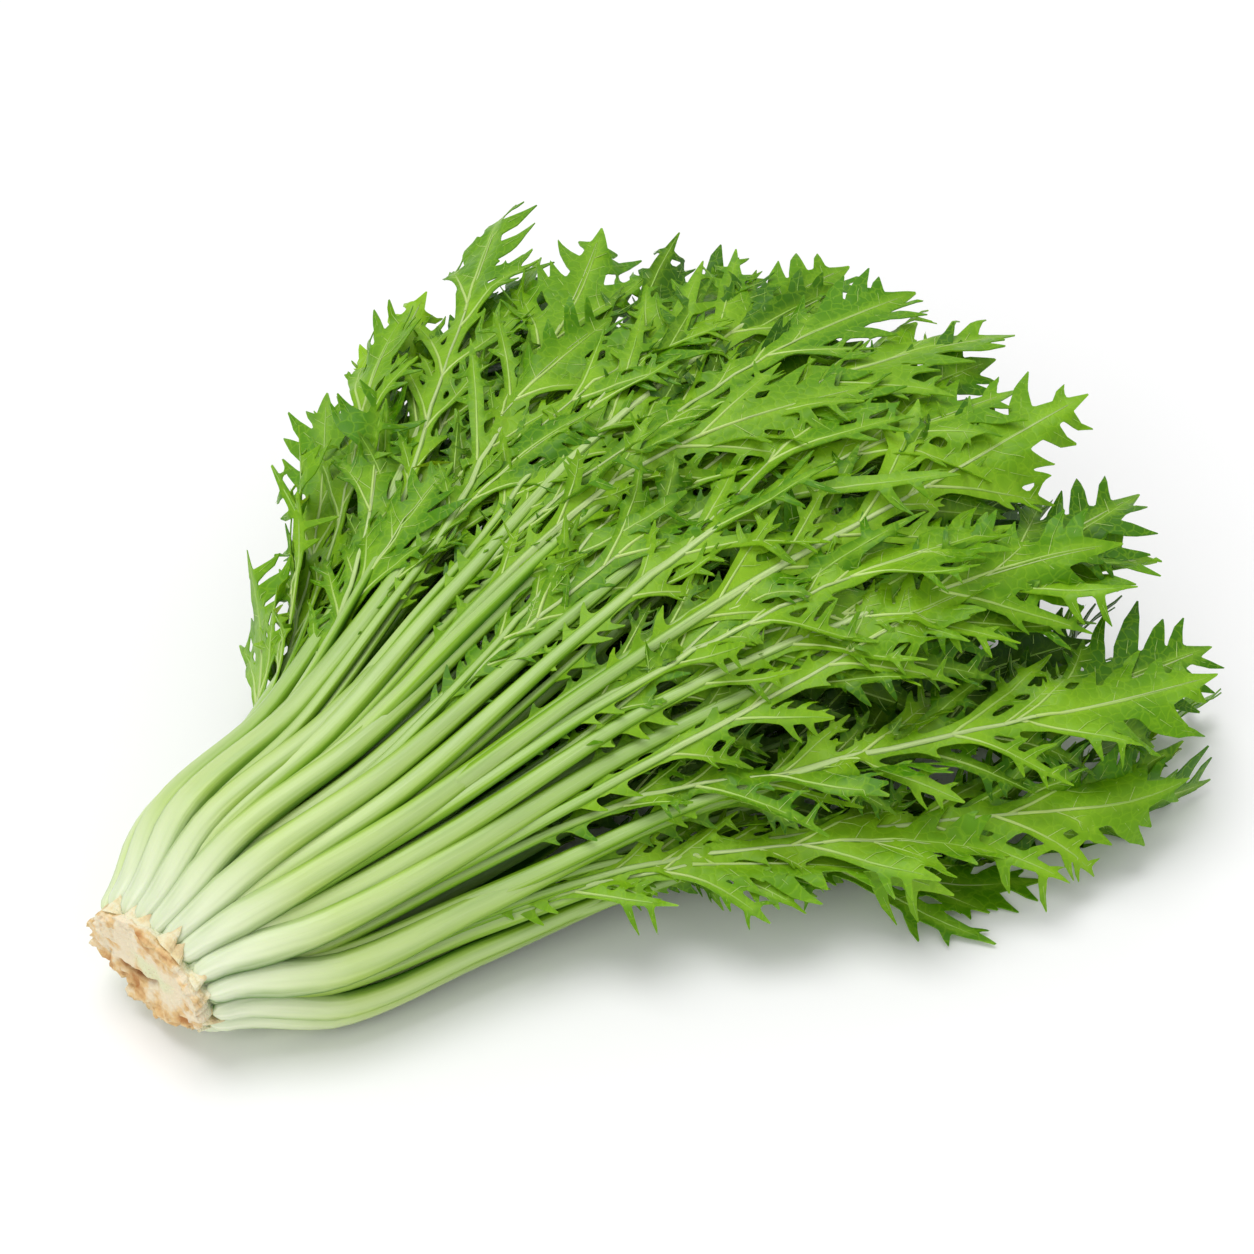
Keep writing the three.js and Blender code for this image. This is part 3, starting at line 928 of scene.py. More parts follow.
    def _frills(self) -> list[Tongue]:
        """Lays out small pointed frills on the stalk under the blade, and single teeth between the lobes.

        Returns:
            The frills and teeth.
        """
        between = self.random.between
        frills = []
        u = self.frill_from + between(0, 8)
        while u < self.blade_from - 4:
            grown = (u - self.frill_from) / (self.blade_from - self.frill_from)
            for side in (1, -1):
                reach = between(1.5, 4.0) + 7 * grown * between(0.5, 1.2)
                base = self._rib_half(u)
                start = u + between(-3, 3)
                tip = (start + reach * between(0.7, 1.2), side * (base + reach))
                points = curve_points((start, 0), (start + 0.2 * reach, side * (base + 0.4 * reach)), tip, 3)
                frills.append(Tongue(points, np.array([0.3, 0.34, 0.2, 0.02]) * reach * 0.8))
            u += between(7, 13)
        pitch = (self.terminal - self.blade_from) / self.lobe_count
        for i in range(self.lobe_count):
            for side in (1, -1):
                start = self.blade_from + (i + between(0.88, 1.0)) * pitch
                reach = between(3.0, 5.5)
                base = self._rib_half(start) + 2.5
                tip = (start + 1.1 * reach, side * (base + reach))
                points = curve_points((start - 2, 0), (start, side * base), tip, 3)
                frills.append(Tongue(points, np.array([0.35, 0.35, 0.22, 0.02]) * reach))
        return frills

    def _rib_half(self, u: np.ndarray | float) -> np.ndarray | float:
        """Half width of the stalk, and further on of the midrib."""
        return StalkShape.half_at(self.habit, self.spine, u)

    def _wing(self) -> Tongue:
        """Lays out the narrow strip of blade along both sides of the midrib.

        Returns:
            The strip.
        """
        u = np.linspace(self.frill_from, self.terminal + 4, 24)
        grown = (u - self.frill_from) / (self.length - self.frill_from)
        wide = self._rib_half(u) + along(self.wing_share, self.wing_width, grown)
        return Tongue(np.stack([u, np.zeros_like(u)], -1), wide)

    def _grid(self) -> Outline:
        """Draws the blade as distances on a grid: lobes and teeth first, then the wing with round corners.

        Returns:
            The outline.
        """
        tongues = [t for lobe in self.lobes for t in (lobe, *lobe.teeth)] + self.frills
        wing = self._wing()
        boxes = np.array([t.box(self.grid_margin) for t in (*tongues, wing)])
        low = boxes[:, (0, 2)].min(0)
        shape = np.ceil((boxes[:, (1, 3)].max(0) - low) / self.grid_step).astype(int) + 1
        u = low[0] + self.grid_step * np.arange(shape[0])
        w = low[1] + self.grid_step * np.arange(shape[1])
        grid = np.full(tuple(shape), self.far_outside)
        for tongue in tongues:
            u0, u1, w0, w1 = tongue.box(self.grid_margin)
            i = slice(*np.searchsorted(u, (u0, u1)))
            j = slice(*np.searchsorted(w, (w0, w1)))
            uu, ww = np.meshgrid(u[i], w[j], indexing="ij")
            grid[i, j] = blend_union(grid[i, j], tongue.reach(uu, ww)[0], self.lobe_corner)
        uu, ww = np.meshgrid(u, w, indexing="ij")
        return Outline(blend_union(grid, wing.reach(uu, ww)[0], self.wing_corner), low, self.grid_step)

    def _triangles(self) -> tuple[np.ndarray, list]:
        """Fills the flat outline with triangles: fine at its edge, coarser inside.

        Returns:
            The pattern's points and the triangles' corner numbers.
        """
        outline = self._grid()
        rims = [thinned(loop, self.edge_tolerance, self.longest_edge) for loop in outline.loops()]
        points = [row for rim in rims for row in rim]
        edges = []
        first = 0
        for rim in rims:
            edges += [(first + k, first + (k + 1) % len(rim)) for k in range(len(rim))]
            first += len(rim)
        span = np.array(outline.grid.shape) * self.grid_step
        rows = []
        for k, w in enumerate(np.arange(outline.low[1], outline.low[1] + span[1], self.inner_step * 0.87)):
            u = np.arange(outline.low[0] + (k % 2) * self.inner_step / 2, outline.low[0] + span[0], self.inner_step)
            rows.append(np.stack([u, np.full_like(u, w)], -1))
        inner = np.concatenate(rows)
        ridges = [row for lobe in self.lobes for row in self._ridge(lobe)]
        apart = np.min(np.linalg.norm(inner[:, None] - np.array(ridges)[None], axis=-1), axis=1)
        inner = inner[(outline.sample(inner) < -1.5) & (apart > 1.9)]
        points += list(inner) + [r for r in ridges if outline.sample(np.array([r]))[0] < -0.9]
        flat = [Vector((float(p[0]), float(p[1]))) for p in points]
        verts, _, faces, *_ = delaunay_2d_cdt(flat, edges, [], 1, 1e-4, False)
        pattern = np.array([tuple(v) for v in verts])
        corners = np.array([f for f in faces if len(f) == 3])
        kept = outline.sample(pattern[corners].mean(1)) < 0.05
        return pattern, corners[kept].tolist()

    def _ridge(self, lobe: Lobe) -> np.ndarray:
        """Lays evenly spaced points along a lobe's rib.

        Args:
            lobe: The lobe.

        Returns:
            A row for each point.
        """
        size = float(np.linalg.norm(np.diff(lobe.points, axis=0), axis=1).sum())
        knots = np.linspace(0, 1, len(lobe.points))
        at = np.linspace(0.06, 0.9, max(3, int(size / 3.6)))
        return np.stack([np.interp(at, knots, lobe.points[:, k]) for k in (0, 1)], -1)

    def relief(self, u: np.ndarray, w: np.ndarray) -> tuple[np.ndarray, np.ndarray, np.ndarray]:
        """The blade's own unevenness.

        Args:
            u: Lengths along the rib.
            w: Distances across it.

        Returns:
            Height off the plain surface, how far it hangs, and nearness to a rib from 0 to 1.
        """
        rise = np.zeros_like(u)
        hang = np.zeros_like(u)
        total = np.full_like(u, 1e-3)
        near = np.exp(-np.maximum(np.abs(w) - self._rib_half(u), 0) / 1.6)
        for lobe in self.lobes:
            u0, u1, w0, w1 = lobe.box(5)
            here = np.flatnonzero((u > u0) & (u < u1) & (w > w0) & (w < w1))
            outside, share, step = lobe.reach(u[here], w[here])
            member = np.clip(1 - outside / 5, 0, 1) * smooth(share, 0.0, 0.3)
            off = np.abs(step)
            rise[here] += member * (lobe.lift * share**2 + lobe.fold * off + lobe.twist * step * share)
            hang[here] += member * lobe.hang * share**2
            total[here] += member
            near[here] = np.maximum(near[here], smooth(share, 0, 0.1) * np.exp(-off / (1.5 - 0.9 * share)))
        most = np.maximum(total, 1)
        p = self.phases
        side = np.sign(w)
        grown = np.abs(w) / (np.abs(w) + 9)
        wave = 2.2 * np.sin(u / 6.1 + p[0] + side * p[1]) + 1.3 * np.sin(u / 3.3 + w / 5 + p[2] + side * p[3])
        small = 0.35 * np.sin(u / 1.7 + p[4]) * np.sin(w / 1.9 + p[5])
        nod = self.habit.nod * (u / self.length) ** 4
        return rise / most + self.wave * grown * wave + grown * small, hang / most + nod, near

    def build(self, stock: MeshStock) -> None:
        """Adds the blade and its veins to a leaf's mesh.

        Args:
            stock: The leaf's points and faces.
        """
        pattern, triangles = self._triangles()
        u, w = pattern[:, 0], pattern[:, 1]
        rise, hang, near = self.relief(u, w)
        middle, normal = self.spine.place(u, w, rise, hang)
        thick = self.half_thickness
        firsts = []
        for under, sign in ((0.0, 1), (1.0, -1)):
            points = middle + normal * thick * sign
            points[:, 2] = np.maximum(points[:, 2], self.off_table + thick * (1 + sign))
            firsts.append(stock.add_points(points, looks_of(near, u / self.length, self.habit.tone, under)))
        top, bottom = firsts
        corner = [tuple(row) for row in (pattern / PATTERN_SIZE).tolist()]
        open_edges = {}
        faces, uvs, walls, wall_uvs = [], [], [], []
        for a, b, c in triangles:
            faces += [(top + a, top + b, top + c), (bottom + a, bottom + c, bottom + b)]
            uvs += [(corner[a], corner[b], corner[c]), (corner[a], corner[c], corner[b])]
            for start, end in ((a, b), (b, c), (c, a)):
                if open_edges.pop((end, start), None) is None:
                    open_edges[(start, end)] = True
        for a, b in open_edges:
            walls.append((top + a, bottom + a, bottom + b, top + b))
            wall_uvs.append((corner[a], corner[a], corner[b], corner[b]))
        stock.add_faces(faces, uvs, Finish.BLADE)
        stock.add_faces(walls, wall_uvs, Finish.BLADE, flat=True)
        self._add_veins(stock)

    def _add_veins(self, stock: MeshStock) -> None:
        """Adds the lines of the lobes' ribs and the teeth's veins, for the sweep to thicken.

        Args:
            stock: The leaf's points and faces.
        """
        rows = []
        first = stock.count
        for lobe in self.lobes:
            size = float(np.linalg.norm(lobe.points[-1] - lobe.points[0]))
            for points, root, tip in ((lobe.points, min(0.75, 0.3 + size / 90), 0.14), *self._tooth_lines(lobe)):
                length = float(np.linalg.norm(np.diff(points, axis=0), axis=1).sum())
                at = np.linspace(0, 0.93, max(3, int(length / 4.5)))
                knots = np.linspace(0, 1, len(points))
                u, w = (np.interp(at, knots, points[:, k]) for k in (0, 1))
                stock.wires += [(first + k, first + k + 1) for k in range(len(at) - 1)]
                first += len(at)
                rows.append(np.stack([u, w, root + (tip - root) * at, at], -1))
        u, w, half, at = np.concatenate(rows).T
        rise, hang, _ = self.relief(u, w)
        place, _ = self.spine.place(u, w, rise + 0.16, hang)
        place[:, 2] = np.maximum(place[:, 2], half + 0.05)
        stock.add_points(place, looks_of(1.0, u / self.length, self.habit.tone, at), half)

    def _tooth_lines(self, lobe: Lobe) -> list[tuple[np.ndarray, float, float]]:
        """The line, root and tip thickness of the vein in each tooth of a lobe."""
        return [] if self.habit.hidden else [(tooth.points, 0.15, 0.05) for tooth in lobe.teeth]


@dataclass
class StalkShape:
    """The stalk of one leaf, which runs on as the midrib: round outside, flatter inside, with soft ridges."""

    habit: LeafHabit
    spine: Spine
    around: int = 18
    stations: int = 46
    foot_round: float = 5.0
    foot_reach: float = -4.0

    rib_share = (0, 0.03, 0.08, 0.16, 0.3, 0.45, 0.58, 0.7, 0.85, 1)
    rib_width = (1.3, 1.26, 1.12, 0.96, 0.77, 0.54, 0.37, 0.25, 0.12, 0.03)
    packing = 0.52

    @classmethod
    def half_at(cls, habit: LeafHabit, spine: Spine, u: np.ndarray | float) -> np.ndarray:
        """Works out how wide the stalk, or further on the midrib, is.

        Args:
            habit: How the leaf grows.
            spine: The leaf's line.
            u: Lengths along it.

        Returns:
            Half widths there.
        """
        share = np.clip(np.asarray(u, float) / spine.length, 0, 1)
        own = along(cls.rib_share, cls.rib_width, share) * habit.stalk_half * habit.slender
        room = np.interp(share * habit.reach, spine.distance, spine.room)
        return np.minimum(own, cls.packing * room)

    def build(self, stock: MeshStock, blade: LeafBlade) -> None:
        """Adds the stalk to a leaf's mesh; as the midrib it follows the blade's own unevenness.

        Args:
            stock: The leaf's points and faces.
            blade: The leaf's blade.
        """
        length = self.spine.length
        end = 0.975 * length
        t = np.linspace(0, 1, self.stations)
        u = self.foot_reach + (end - self.foot_reach) * t**1.35
        share = u / length
        half = self.half_at(self.habit, self.spine, u)
        rounding = np.clip((u - self.foot_reach) / self.foot_round, 0.02, 1)
        half = half * np.sqrt(1 - (1 - rounding) ** 2)
        grown = smooth(share, self.habit.blade_start - 0.12, self.habit.blade_start + 0.06)
        up = half * (0.84 * (1 - grown) + 0.5 * grown) + 0.25 * grown
        down = half * (0.55 * (1 - grown) + 0.34 * grown) + 0.25 * grown
        rise, hang, _ = blade.relief(u, np.zeros_like(u))
        angle = np.arange(self.around) * 2 * math.pi / self.around
        ridges = 1 + 0.035 * np.cos(angle * 7 + self.habit.tone * 6) + 0.02 * np.cos(angle * 4 + 2)
        side = np.sign(np.cos(angle)) * np.abs(np.cos(angle)) ** 0.86
        height = np.sign(np.sin(angle)) * np.abs(np.sin(angle)) ** 0.86
        points, looks = [], []
        for k in range(self.stations):
            x = half[k] * side * ridges
            y = np.where(height > 0, up[k], down[k]) * height * ridges
            row = np.full(self.around, u[k])
            base, normal = self.spine.place(row, x, np.full_like(x, rise[k]), np.full_like(x, hang[k]))
            ring = base + normal * y[:, None]
            ring[:, 2] = np.maximum(ring[:, 2], 0.0)
            points.append(ring)
            # The first number, the crest, also sets where the stalk's finish paints shade on the sides and a highlight
            # along the top.
            looks.append(looks_of(0.5 + 0.5 * height, max(share[k], 0), self.habit.tone, 0.0))
        first = stock.add_points(np.concatenate(points), np.concatenate(looks))
        ends = []
        for k in (0, -1):
            ends.append(stock.add_points(points[k].mean(0, keepdims=True), looks[k][:1]))
        n = self.around
        faces, uvs = [], []
        for k in range(self.stations - 1):
            for i in range(n):
                a, b = first + k * n + i, first + k * n + (i + 1) % n
                faces.append((a, b, b + n, a + n))
                v = (i / n, (i + 1) / n)
                lo, hi = u[k] / PATTERN_SIZE, u[k + 1] / PATTERN_SIZE
                uvs.append(((lo, v[0]), (lo, v[1]), (hi, v[1]), (hi, v[0])))
        last = first + (self.stations - 1) * n
        for i in range(n):
            j = (i + 1) % n
            faces += [(ends[0], first + j, first + i), (ends[1], last + i, last + j)]
            uvs += [((0, 0.5), (0, 0.5), (0, 0.5))] * 2
        stock.add_faces(faces, uvs, Finish.STALK)


class NodePen:
    """Adds nodes to a tree and joins them."""

    column_width = 190

    def __init__(self, tree: bpy.types.NodeTree) -> None:
        """Keeps the tree and starts a tidy row of nodes."""
        self.tree = tree
        self.column = 0

    def add(self, kind: str, inputs: dict | None = None, **settings: object) -> bpy.types.Node:
        """Adds a node.

        Args:
            kind: The node's type name.
            inputs: For each input's name or number, a value or an output to join to it.
            settings: Properties of the node.

        Returns:
            The new node.
        """
        node = self.tree.nodes.new(kind)
        node.location = (self.column * self.column_width, 0)
        self.column += 1
        for name, value in settings.items():
            setattr(node, name, value)
        self.set(node, inputs or {})
        return node

    def set(self, node: bpy.types.Node, inputs: dict) -> None:
        """Sets or joins inputs of a node.

        Args:
            node: The node.
            inputs: For each input's name or number, a value or an output to join to it.
        """
        for key, value in inputs.items():
            if isinstance(value, Socket):
                self.tree.links.new(value, node.inputs[key])
            else:
                node.inputs[key].default_value = value

    def group(self, tree: bpy.types.NodeTree, vector: Socket, **sizes: float) -> object:
        """Places a shared group that reads some coordinates, with its sizes, and returns its outputs."""
        return self.add("ShaderNodeGroup", {"Vector": vector, **sizes}, node_tree=tree).outputs

    def looks(self) -> tuple[Socket, ...]:
        """Reads the four numbers of the look attribute, whose meaning each finish names."""
        look = self.add("ShaderNodeAttribute", attribute_name="look").outputs
        return (*self.add("ShaderNodeSeparateColor", {0: look["Color"]}).outputs, look["Alpha"])

    def mix(self, factor: object, first: object, second: object) -> Socket:
        """Mixes two colours and returns the mixed one."""
        return self.add("ShaderNodeMix", {0: factor, 6: first, 7: second}, data_type="RGBA").outputs[2]

    def math(self, operation: str, *values: object, clamp: bool = False) -> Socket:
        """Works out one step of arithmetic."""
        return self.add("ShaderNodeMath", dict(enumerate(values)), operation=operation, use_clamp=clamp).outputs[0]

    def plus(self, value: object, share: float, other: object) -> Socket:
        """Adds another value to a share of a value."""
        return self.math("ADD", self.math("MULTIPLY", value, share), other)

    def scale(self, value: object, low: float, high: object, start: float, end: float) -> Socket:
        """Maps a value from low and high to start and end, and holds it there."""
        return self.add("ShaderNodeMapRange", {0: value, 1: low, 2: high, 3: start, 4: end}).outputs[0]

    def centred(self, value: object) -> Socket:
        """Moves a value from 0 to 1 so that its middle is nought."""
        return self.math("SUBTRACT", value, 0.5)

    def layers(self, base: object, *layers: tuple[object, object]) -> Socket:
        """Lays colours over a base, one after the other.

        Args:
            base: The colour below.
            layers: Pairs of an amount and a colour.

        Returns:
            The colour that comes out.
        """
        for amount, shade in layers:
            base = self.mix(amount, base, shade)
        return base

    def bump(self, height: object, strength: float, distance: float, **below: object) -> Socket:
        """Raises a surface by a pattern, above the Normal of another bump if there is one."""
        inputs = {"Height": height, "Strength": strength, "Distance": distance, **below}
        return self.add("ShaderNodeBump", inputs).outputs[0]

    def ramp(self, factor: object, *stops: tuple[float, Colour]) -> Socket:
        """A colour that changes with a value.

        Args:
            factor: The value.
            stops: Pairs of a value and the colour there.

        Returns:
            The colour.
        """
        node = self.add("ShaderNodeValToRGB", {0: factor})
        while len(node.color_ramp.elements) < len(stops):
            node.color_ramp.elements.new(0.5)
        for element, (place, shade) in zip(node.color_ramp.elements, stops):
            element.position = place
            element.color = shade
        return node.outputs[0]


def open_group(name: str, kind: str, inputs: dict, outputs: dict) -> tuple:
    """Starts a node group.

    Args:
        name: The group's name.
        kind: The tree's type.
        inputs: For each input's name, its socket type and first value.
        outputs: For each output's name, its socket type.

    Returns:
        The tree, a pen for it, its inputs, and the node that takes its outputs.
    """
    tree = bpy.data.node_groups.new(name, kind)
    for label, (socket_type, value) in inputs.items():
        socket = tree.interface.new_socket(label, in_out="INPUT", socket_type=socket_type)
        if value is not None:
            socket.default_value = value
    for label, socket_type in outputs.items():
        tree.interface.new_socket(label, in_out="OUTPUT", socket_type=socket_type)
    pen = NodePen(tree)
    return tree, pen, pen.add("NodeGroupInput").outputs, pen.add("NodeGroupOutput")


def streak_group() -> bpy.types.NodeTree:
    """Fine lengthwise streaks of plant fibre, read from a pattern that runs along U.

    Returns:
        The group.
    """
    tree, pen, given, result = open_group(
        "fibre_streaks",
        "ShaderNodeTree",
        {
            "Vector": ("NodeSocketVector", None),
            "Along": ("NodeSocketFloat", 6.0),
            "Across": ("NodeSocketFloat", 60.0),
        },
        {"Streak": "NodeSocketFloat", "Broad": "NodeSocketFloat"},
    )
    x, y, z = pen.add("ShaderNodeSeparateXYZ", {0: given["Vector"]}).outputs
    u = pen.math("MULTIPLY", x, given["Along"])
    v = pen.math("MULTIPLY", y, given["Across"])
    for name, width, detail in (("Streak", 1.0, 4.0), ("Broad", 0.22, 2.0)):
        at = pen.add("ShaderNodeCombineXYZ", {0: u, 1: pen.math("MULTIPLY", v, width), 2: z})
        lines = pen.add("ShaderNodeTexNoise", {"Vector": at.outputs[0], "Scale": 1.0, "Detail": detail})
        pen.set(result, {name: lines.outputs[0]})
    return tree


def mottle_group() -> bpy.types.NodeTree:
    """Soft uneven patches in two sizes, as on anything that has grown.

    Returns:
        The group.
    """
    tree, pen, given, result = open_group(
        "grown_mottle",
        "ShaderNodeTree",
        {"Vector": ("NodeSocketVector", None), "Size": ("NodeSocketFloat", 60.0)},
        {"Patch": "NodeSocketFloat", "Speck": "NodeSocketFloat"},
    )
    for name, times, detail in (("Patch", 1.0, 3.0), ("Speck", 9.0, 2.0)):
        size = pen.math("MULTIPLY", given["Size"], times)
        cloud = pen.add("ShaderNodeTexNoise", {"Vector": given["Vector"], "Scale": size, "Detail": detail})
        pen.set(result, {name: cloud.outputs[0]})
    return tree


def vein_net_group() -> bpy.types.NodeTree:
    """The net of small veins between the ribs, and the pillows of blade between them.

    Returns:
        The group.
    """
    tree, pen, given, result = open_group(
        "vein_net",
        "ShaderNodeTree",
        {"Vector": ("NodeSocketVector", None), "Size": ("NodeSocketFloat", 30.0)},
        {"Line": "NodeSocketFloat", "Pillow": "NodeSocketFloat"},
    )
    warp = pen.add("ShaderNodeTexNoise", {"Vector": given["Vector"], "Scale": 25.0, "Detail": 2.0})
    bent = pen.add("ShaderNodeVectorMath", {0: warp.outputs["Color"], 1: (0.03, 0.03, 0.03)}, operation="MULTIPLY")
    moved = pen.add("ShaderNodeVectorMath", {0: given["Vector"], 1: bent.outputs[0]}, operation="ADD")
    cells = pen.add(
        "ShaderNodeTexVoronoi",
        {"Vector": moved.outputs[0], "Scale": given["Size"]},
        feature="DISTANCE_TO_EDGE",
    )
    to_edge = cells.outputs["Distance"]
    pen.set(result, {"Line": pen.scale(to_edge, 0.0, 0.1, 1.0, 0.0), "Pillow": pen.math("POWER", to_edge, 0.6)})
    return tree


@dataclass(frozen=True)
class SharedGroups:
    """The node groups that several finishes use."""

    streaks: bpy.types.NodeTree
    mottle: bpy.types.NodeTree
    vein_net: bpy.types.NodeTree


@dataclass(frozen=True)
class Surface:
    """What all finishes have: a gloss with a fine pattern in it, and light that passes into them, in metres."""

    name: str = "surface"
    roughness: float = 0.5
    uneven_gloss: float = 0.1
    specular: float = 0.5
    light_share: float = 0.0
    light_colour: tuple = (1.0, 0.2, 0.1)
    light_depth: float = 0.05

    def material(self, groups: SharedGroups) -> Material:
        """Builds the material.

        Args:
            groups: The shared node groups.

        Returns:
            The material.
        """
        material = bpy.data.materials.new(self.name)
        material.use_nodes = True
        pen = NodePen(material.node_tree)
        inputs = {
            "Specular IOR Level": self.specular,
            "Subsurface Weight": self.light_share,
            "Subsurface Radius": self.light_colour,
            "Subsurface Scale": self.light_depth,
        }
        inputs |= self.inputs(pen, pen.add("ShaderNodeTexCoord").outputs, groups)
        pen.set(material.node_tree.nodes["Principled BSDF"], inputs)
        return material

    def gloss(self, pen: NodePen, pattern: object) -> Socket:
        """The roughness, with a pattern from 0 to 1 in it."""
        return pen.plus(pattern, self.uneven_gloss, self.roughness - self.uneven_gloss / 2)

    def inputs(self, pen: NodePen, place: object, groups: SharedGroups) -> dict:
        """Works out what else the shader reads, which each finish does in its own way.

        Args:
            pen: The pen for the material's tree.
            place: The texture coordinates.
            groups: The shared node groups.

        Returns:
            For each of the shader's inputs, its value or an output to join to it.
        """
        raise NotImplementedError


@dataclass(frozen=True)
class BladeFinish(Surface):
    """The blade: fresh green, paler by its ribs and on its inner side, with a fine net of veins, and darkened with
    painted shade where it lies deep in the bunch.
    """

    name: str = "mizuna_blade"
    # hollow: painted shade, the dark green laid over leaves that lie deep in the bunch, by their low tone.
    hollow: Colour = colour("1c4200")
    deep: Colour = colour("1e4a00")
    fresh: Colour = colour("488000")
    light: Colour = colour("96c41c")
    rib_side: Colour = colour("98c62e")
    inner_side: Colour = colour("7aaa24")
    tip: Colour = colour("4c8800")
    patch_size: float = 35.0
    net_size: float = 26.0
    roughness: float = 0.4
    uneven_gloss: float = 0.2
    specular: float = 0.2
    light_share: float = 0.22
    light_colour: tuple = (0.8, 1.0, 0.15)
    light_depth: float = 0.0016

    def inputs(self, pen: NodePen, place: object, groups: SharedGroups) -> dict:
        """Mixes the greens, paints shade on leaves that lie deep in the bunch and raises the blade between its veins.

        Args:
            pen: The pen for the material's tree.
            place: The texture coordinates.
            groups: The shared node groups.

        Returns:
            The shader's inputs, by name.
        """
        near, share, tone, under = pen.looks()
        mottle = pen.group(groups.mottle, place["Object"], Size=self.patch_size)
        net = pen.group(groups.vein_net, place["UV"], Size=self.net_size)
        # The tone is lower for leaves deep in the bunch, so this ramp also darkens them as painted shade.
        patch = pen.plus(mottle["Patch"], 0.4, pen.math("MULTIPLY", tone, 0.8))
        base = pen.layers(
            pen.ramp(patch, (0.3, self.deep), (0.66, self.fresh), (1.0, self.light)),
            (pen.math("MULTIPLY", pen.math("POWER", share, 5.0), 0.35), self.tip),
            (pen.math("MULTIPLY", net["Line"], 0.28), self.light),
            (pen.math("MULTIPLY", near, 0.5, clamp=True), self.rib_side),
            (pen.math("MULTIPLY", under, 0.55), self.inner_side),
            # Painted shade: leaves with the lowest tones, those deep in the bunch, turn to the hollow green.
            (pen.scale(tone, 0.1, 0.4, 0.72, 0.0), self.hollow),
        )
        bump = pen.bump(pen.plus(mottle["Speck"], 0.25, net["Pillow"]), 0.45, 0.0005)
        return {"Base Color": base, "Roughness": self.gloss(pen, mottle["Speck"]), "Normal": bump}


@dataclass(frozen=True)
class StalkFinish(Surface):
    """The stalk: near white at the foot, pale green further on, glossy, with lengthwise fibres, painted shade on its
    sides and a painted highlight along its crest.
    """

    name: str = "mizuna_stalk"
    foot: Colour = colour("eef4d6")
    low: Colour = colour("b6d262")
    middle: Colour = colour("92bc2a")
    high: Colour = colour("84b420")
    groove: Colour = colour("689808")
    # shade: the painted shade green on the stalks' sides and on stalks deep in the bunch.
    shade: Colour = colour("3e7a00")
    rib: Colour = colour("c2dc88")
    fibre_length: float = 2.2
    fibres_around: float = 34.0
    roughness: float = 0.3
    uneven_gloss: float = 0.18
    coat_roughness: float = 0.2
    specular: float = 0.24
    light_share: float = 0.15
    light_colour: tuple = (0.8, 1.0, 0.4)
    light_depth: float = 0.003

    def inputs(self, pen: NodePen, place: object, groups: SharedGroups) -> dict:
        """Greens the stalk from foot to tip, paints shade on its sides and on stalks deep in the bunch, and paints a
        highlight along its crest.

        Args:
            pen: The pen for the material's tree.
            place: The texture coordinates.
            groups: The shared node groups.

        Returns:
            The shader's inputs, by name.
        """
        crest, share, tone, _ = pen.looks()
        fibres = pen.group(groups.streaks, place["UV"], Along=self.fibre_length, Across=self.fibres_around)
        grown = pen.plus(pen.centred(tone), 0.09, share)
        # Painted highlight: the top of the stalk is mixed towards the pale foot colour.
        painted_crest_highlight = pen.math("MULTIPLY", pen.scale(crest, 0.86, 1.0, 0.0, 0.34), pen.math("SUBTRACT", 1.1, share))
        # Painted shade: the stalk's lower sides, and stalks deep in the bunch by their low tone, are mixed towards the
        # shade green.
        painted_side_shade, inner = pen.scale(crest, 0.44, 0.92, 0.92, 0.0), pen.scale(tone, 0.1, 0.4, 0.62, 0.0)
        stops = (0.0, self.foot), (0.1, self.low), (0.3, self.middle), (0.47, self.high), (0.7, self.rib)
        base = pen.layers(
            pen.ramp(grown, *stops),
            (pen.scale(fibres["Broad"], 0.42, 0.7, 0.0, 0.5), self.groove),
            (pen.math("MULTIPLY", pen.centred(fibres["Streak"]), 0.5, clamp=True), self.foot),
            (painted_crest_highlight, self.foot),
            (pen.math("ADD", painted_side_shade, inner, clamp=True), self.shade),
        )
        rough = pen.math("ADD", self.gloss(pen, fibres["Streak"]), pen.scale(crest, 0.5, 1.0, 0.3, 0.0))
        return {
            "Base Color": base,
            "Roughness": rough,
            "Normal": pen.bump(fibres["Broad"], 0.5, 0.0015, Normal=pen.bump(fibres["Streak"], 0.35, 0.0006)),
            "Coat Weight": pen.scale(crest, 0.7, 1.0, 0.0, 0.2),
            "Coat Roughness": self.coat_roughness,
        }


@dataclass(frozen=True)
class RibFinish(Surface):
    """The ribs of the lobes: pale and smooth, greener towards their tips."""

    name: str = "mizuna_rib"
    pale: Colour = colour("bcd878")
    green: Colour = colour("86bc30")
    patch_size: float = 60.0
    roughness: float = 0.375
    uneven_gloss: float = 0.15
    light_share: float = 0.2
    light_colour: tuple = (0.7, 1.0, 0.3)
    light_depth: float = 0.0015

    def inputs(self, pen: NodePen, place: object, groups: SharedGroups) -> dict:
        """Greens the rib towards its tip, unevenly.

        Args:
            pen: The pen for the material's tree.
            place: The texture coordinates.
            groups: The shared node groups.

        Returns:
            The shader's inputs, by name.
        """
        *_, toward_tip = pen.looks()
        mottle = pen.group(groups.mottle, place["Object"], Size=self.patch_size)
        mixed = pen.math("ADD", toward_tip, pen.centred(mottle["Patch"]))
        base = pen.ramp(mixed, (0.05, self.pale), (0.9, self.green))
        return {"Base Color": base, "Roughness": self.gloss(pen, mottle["Speck"])}


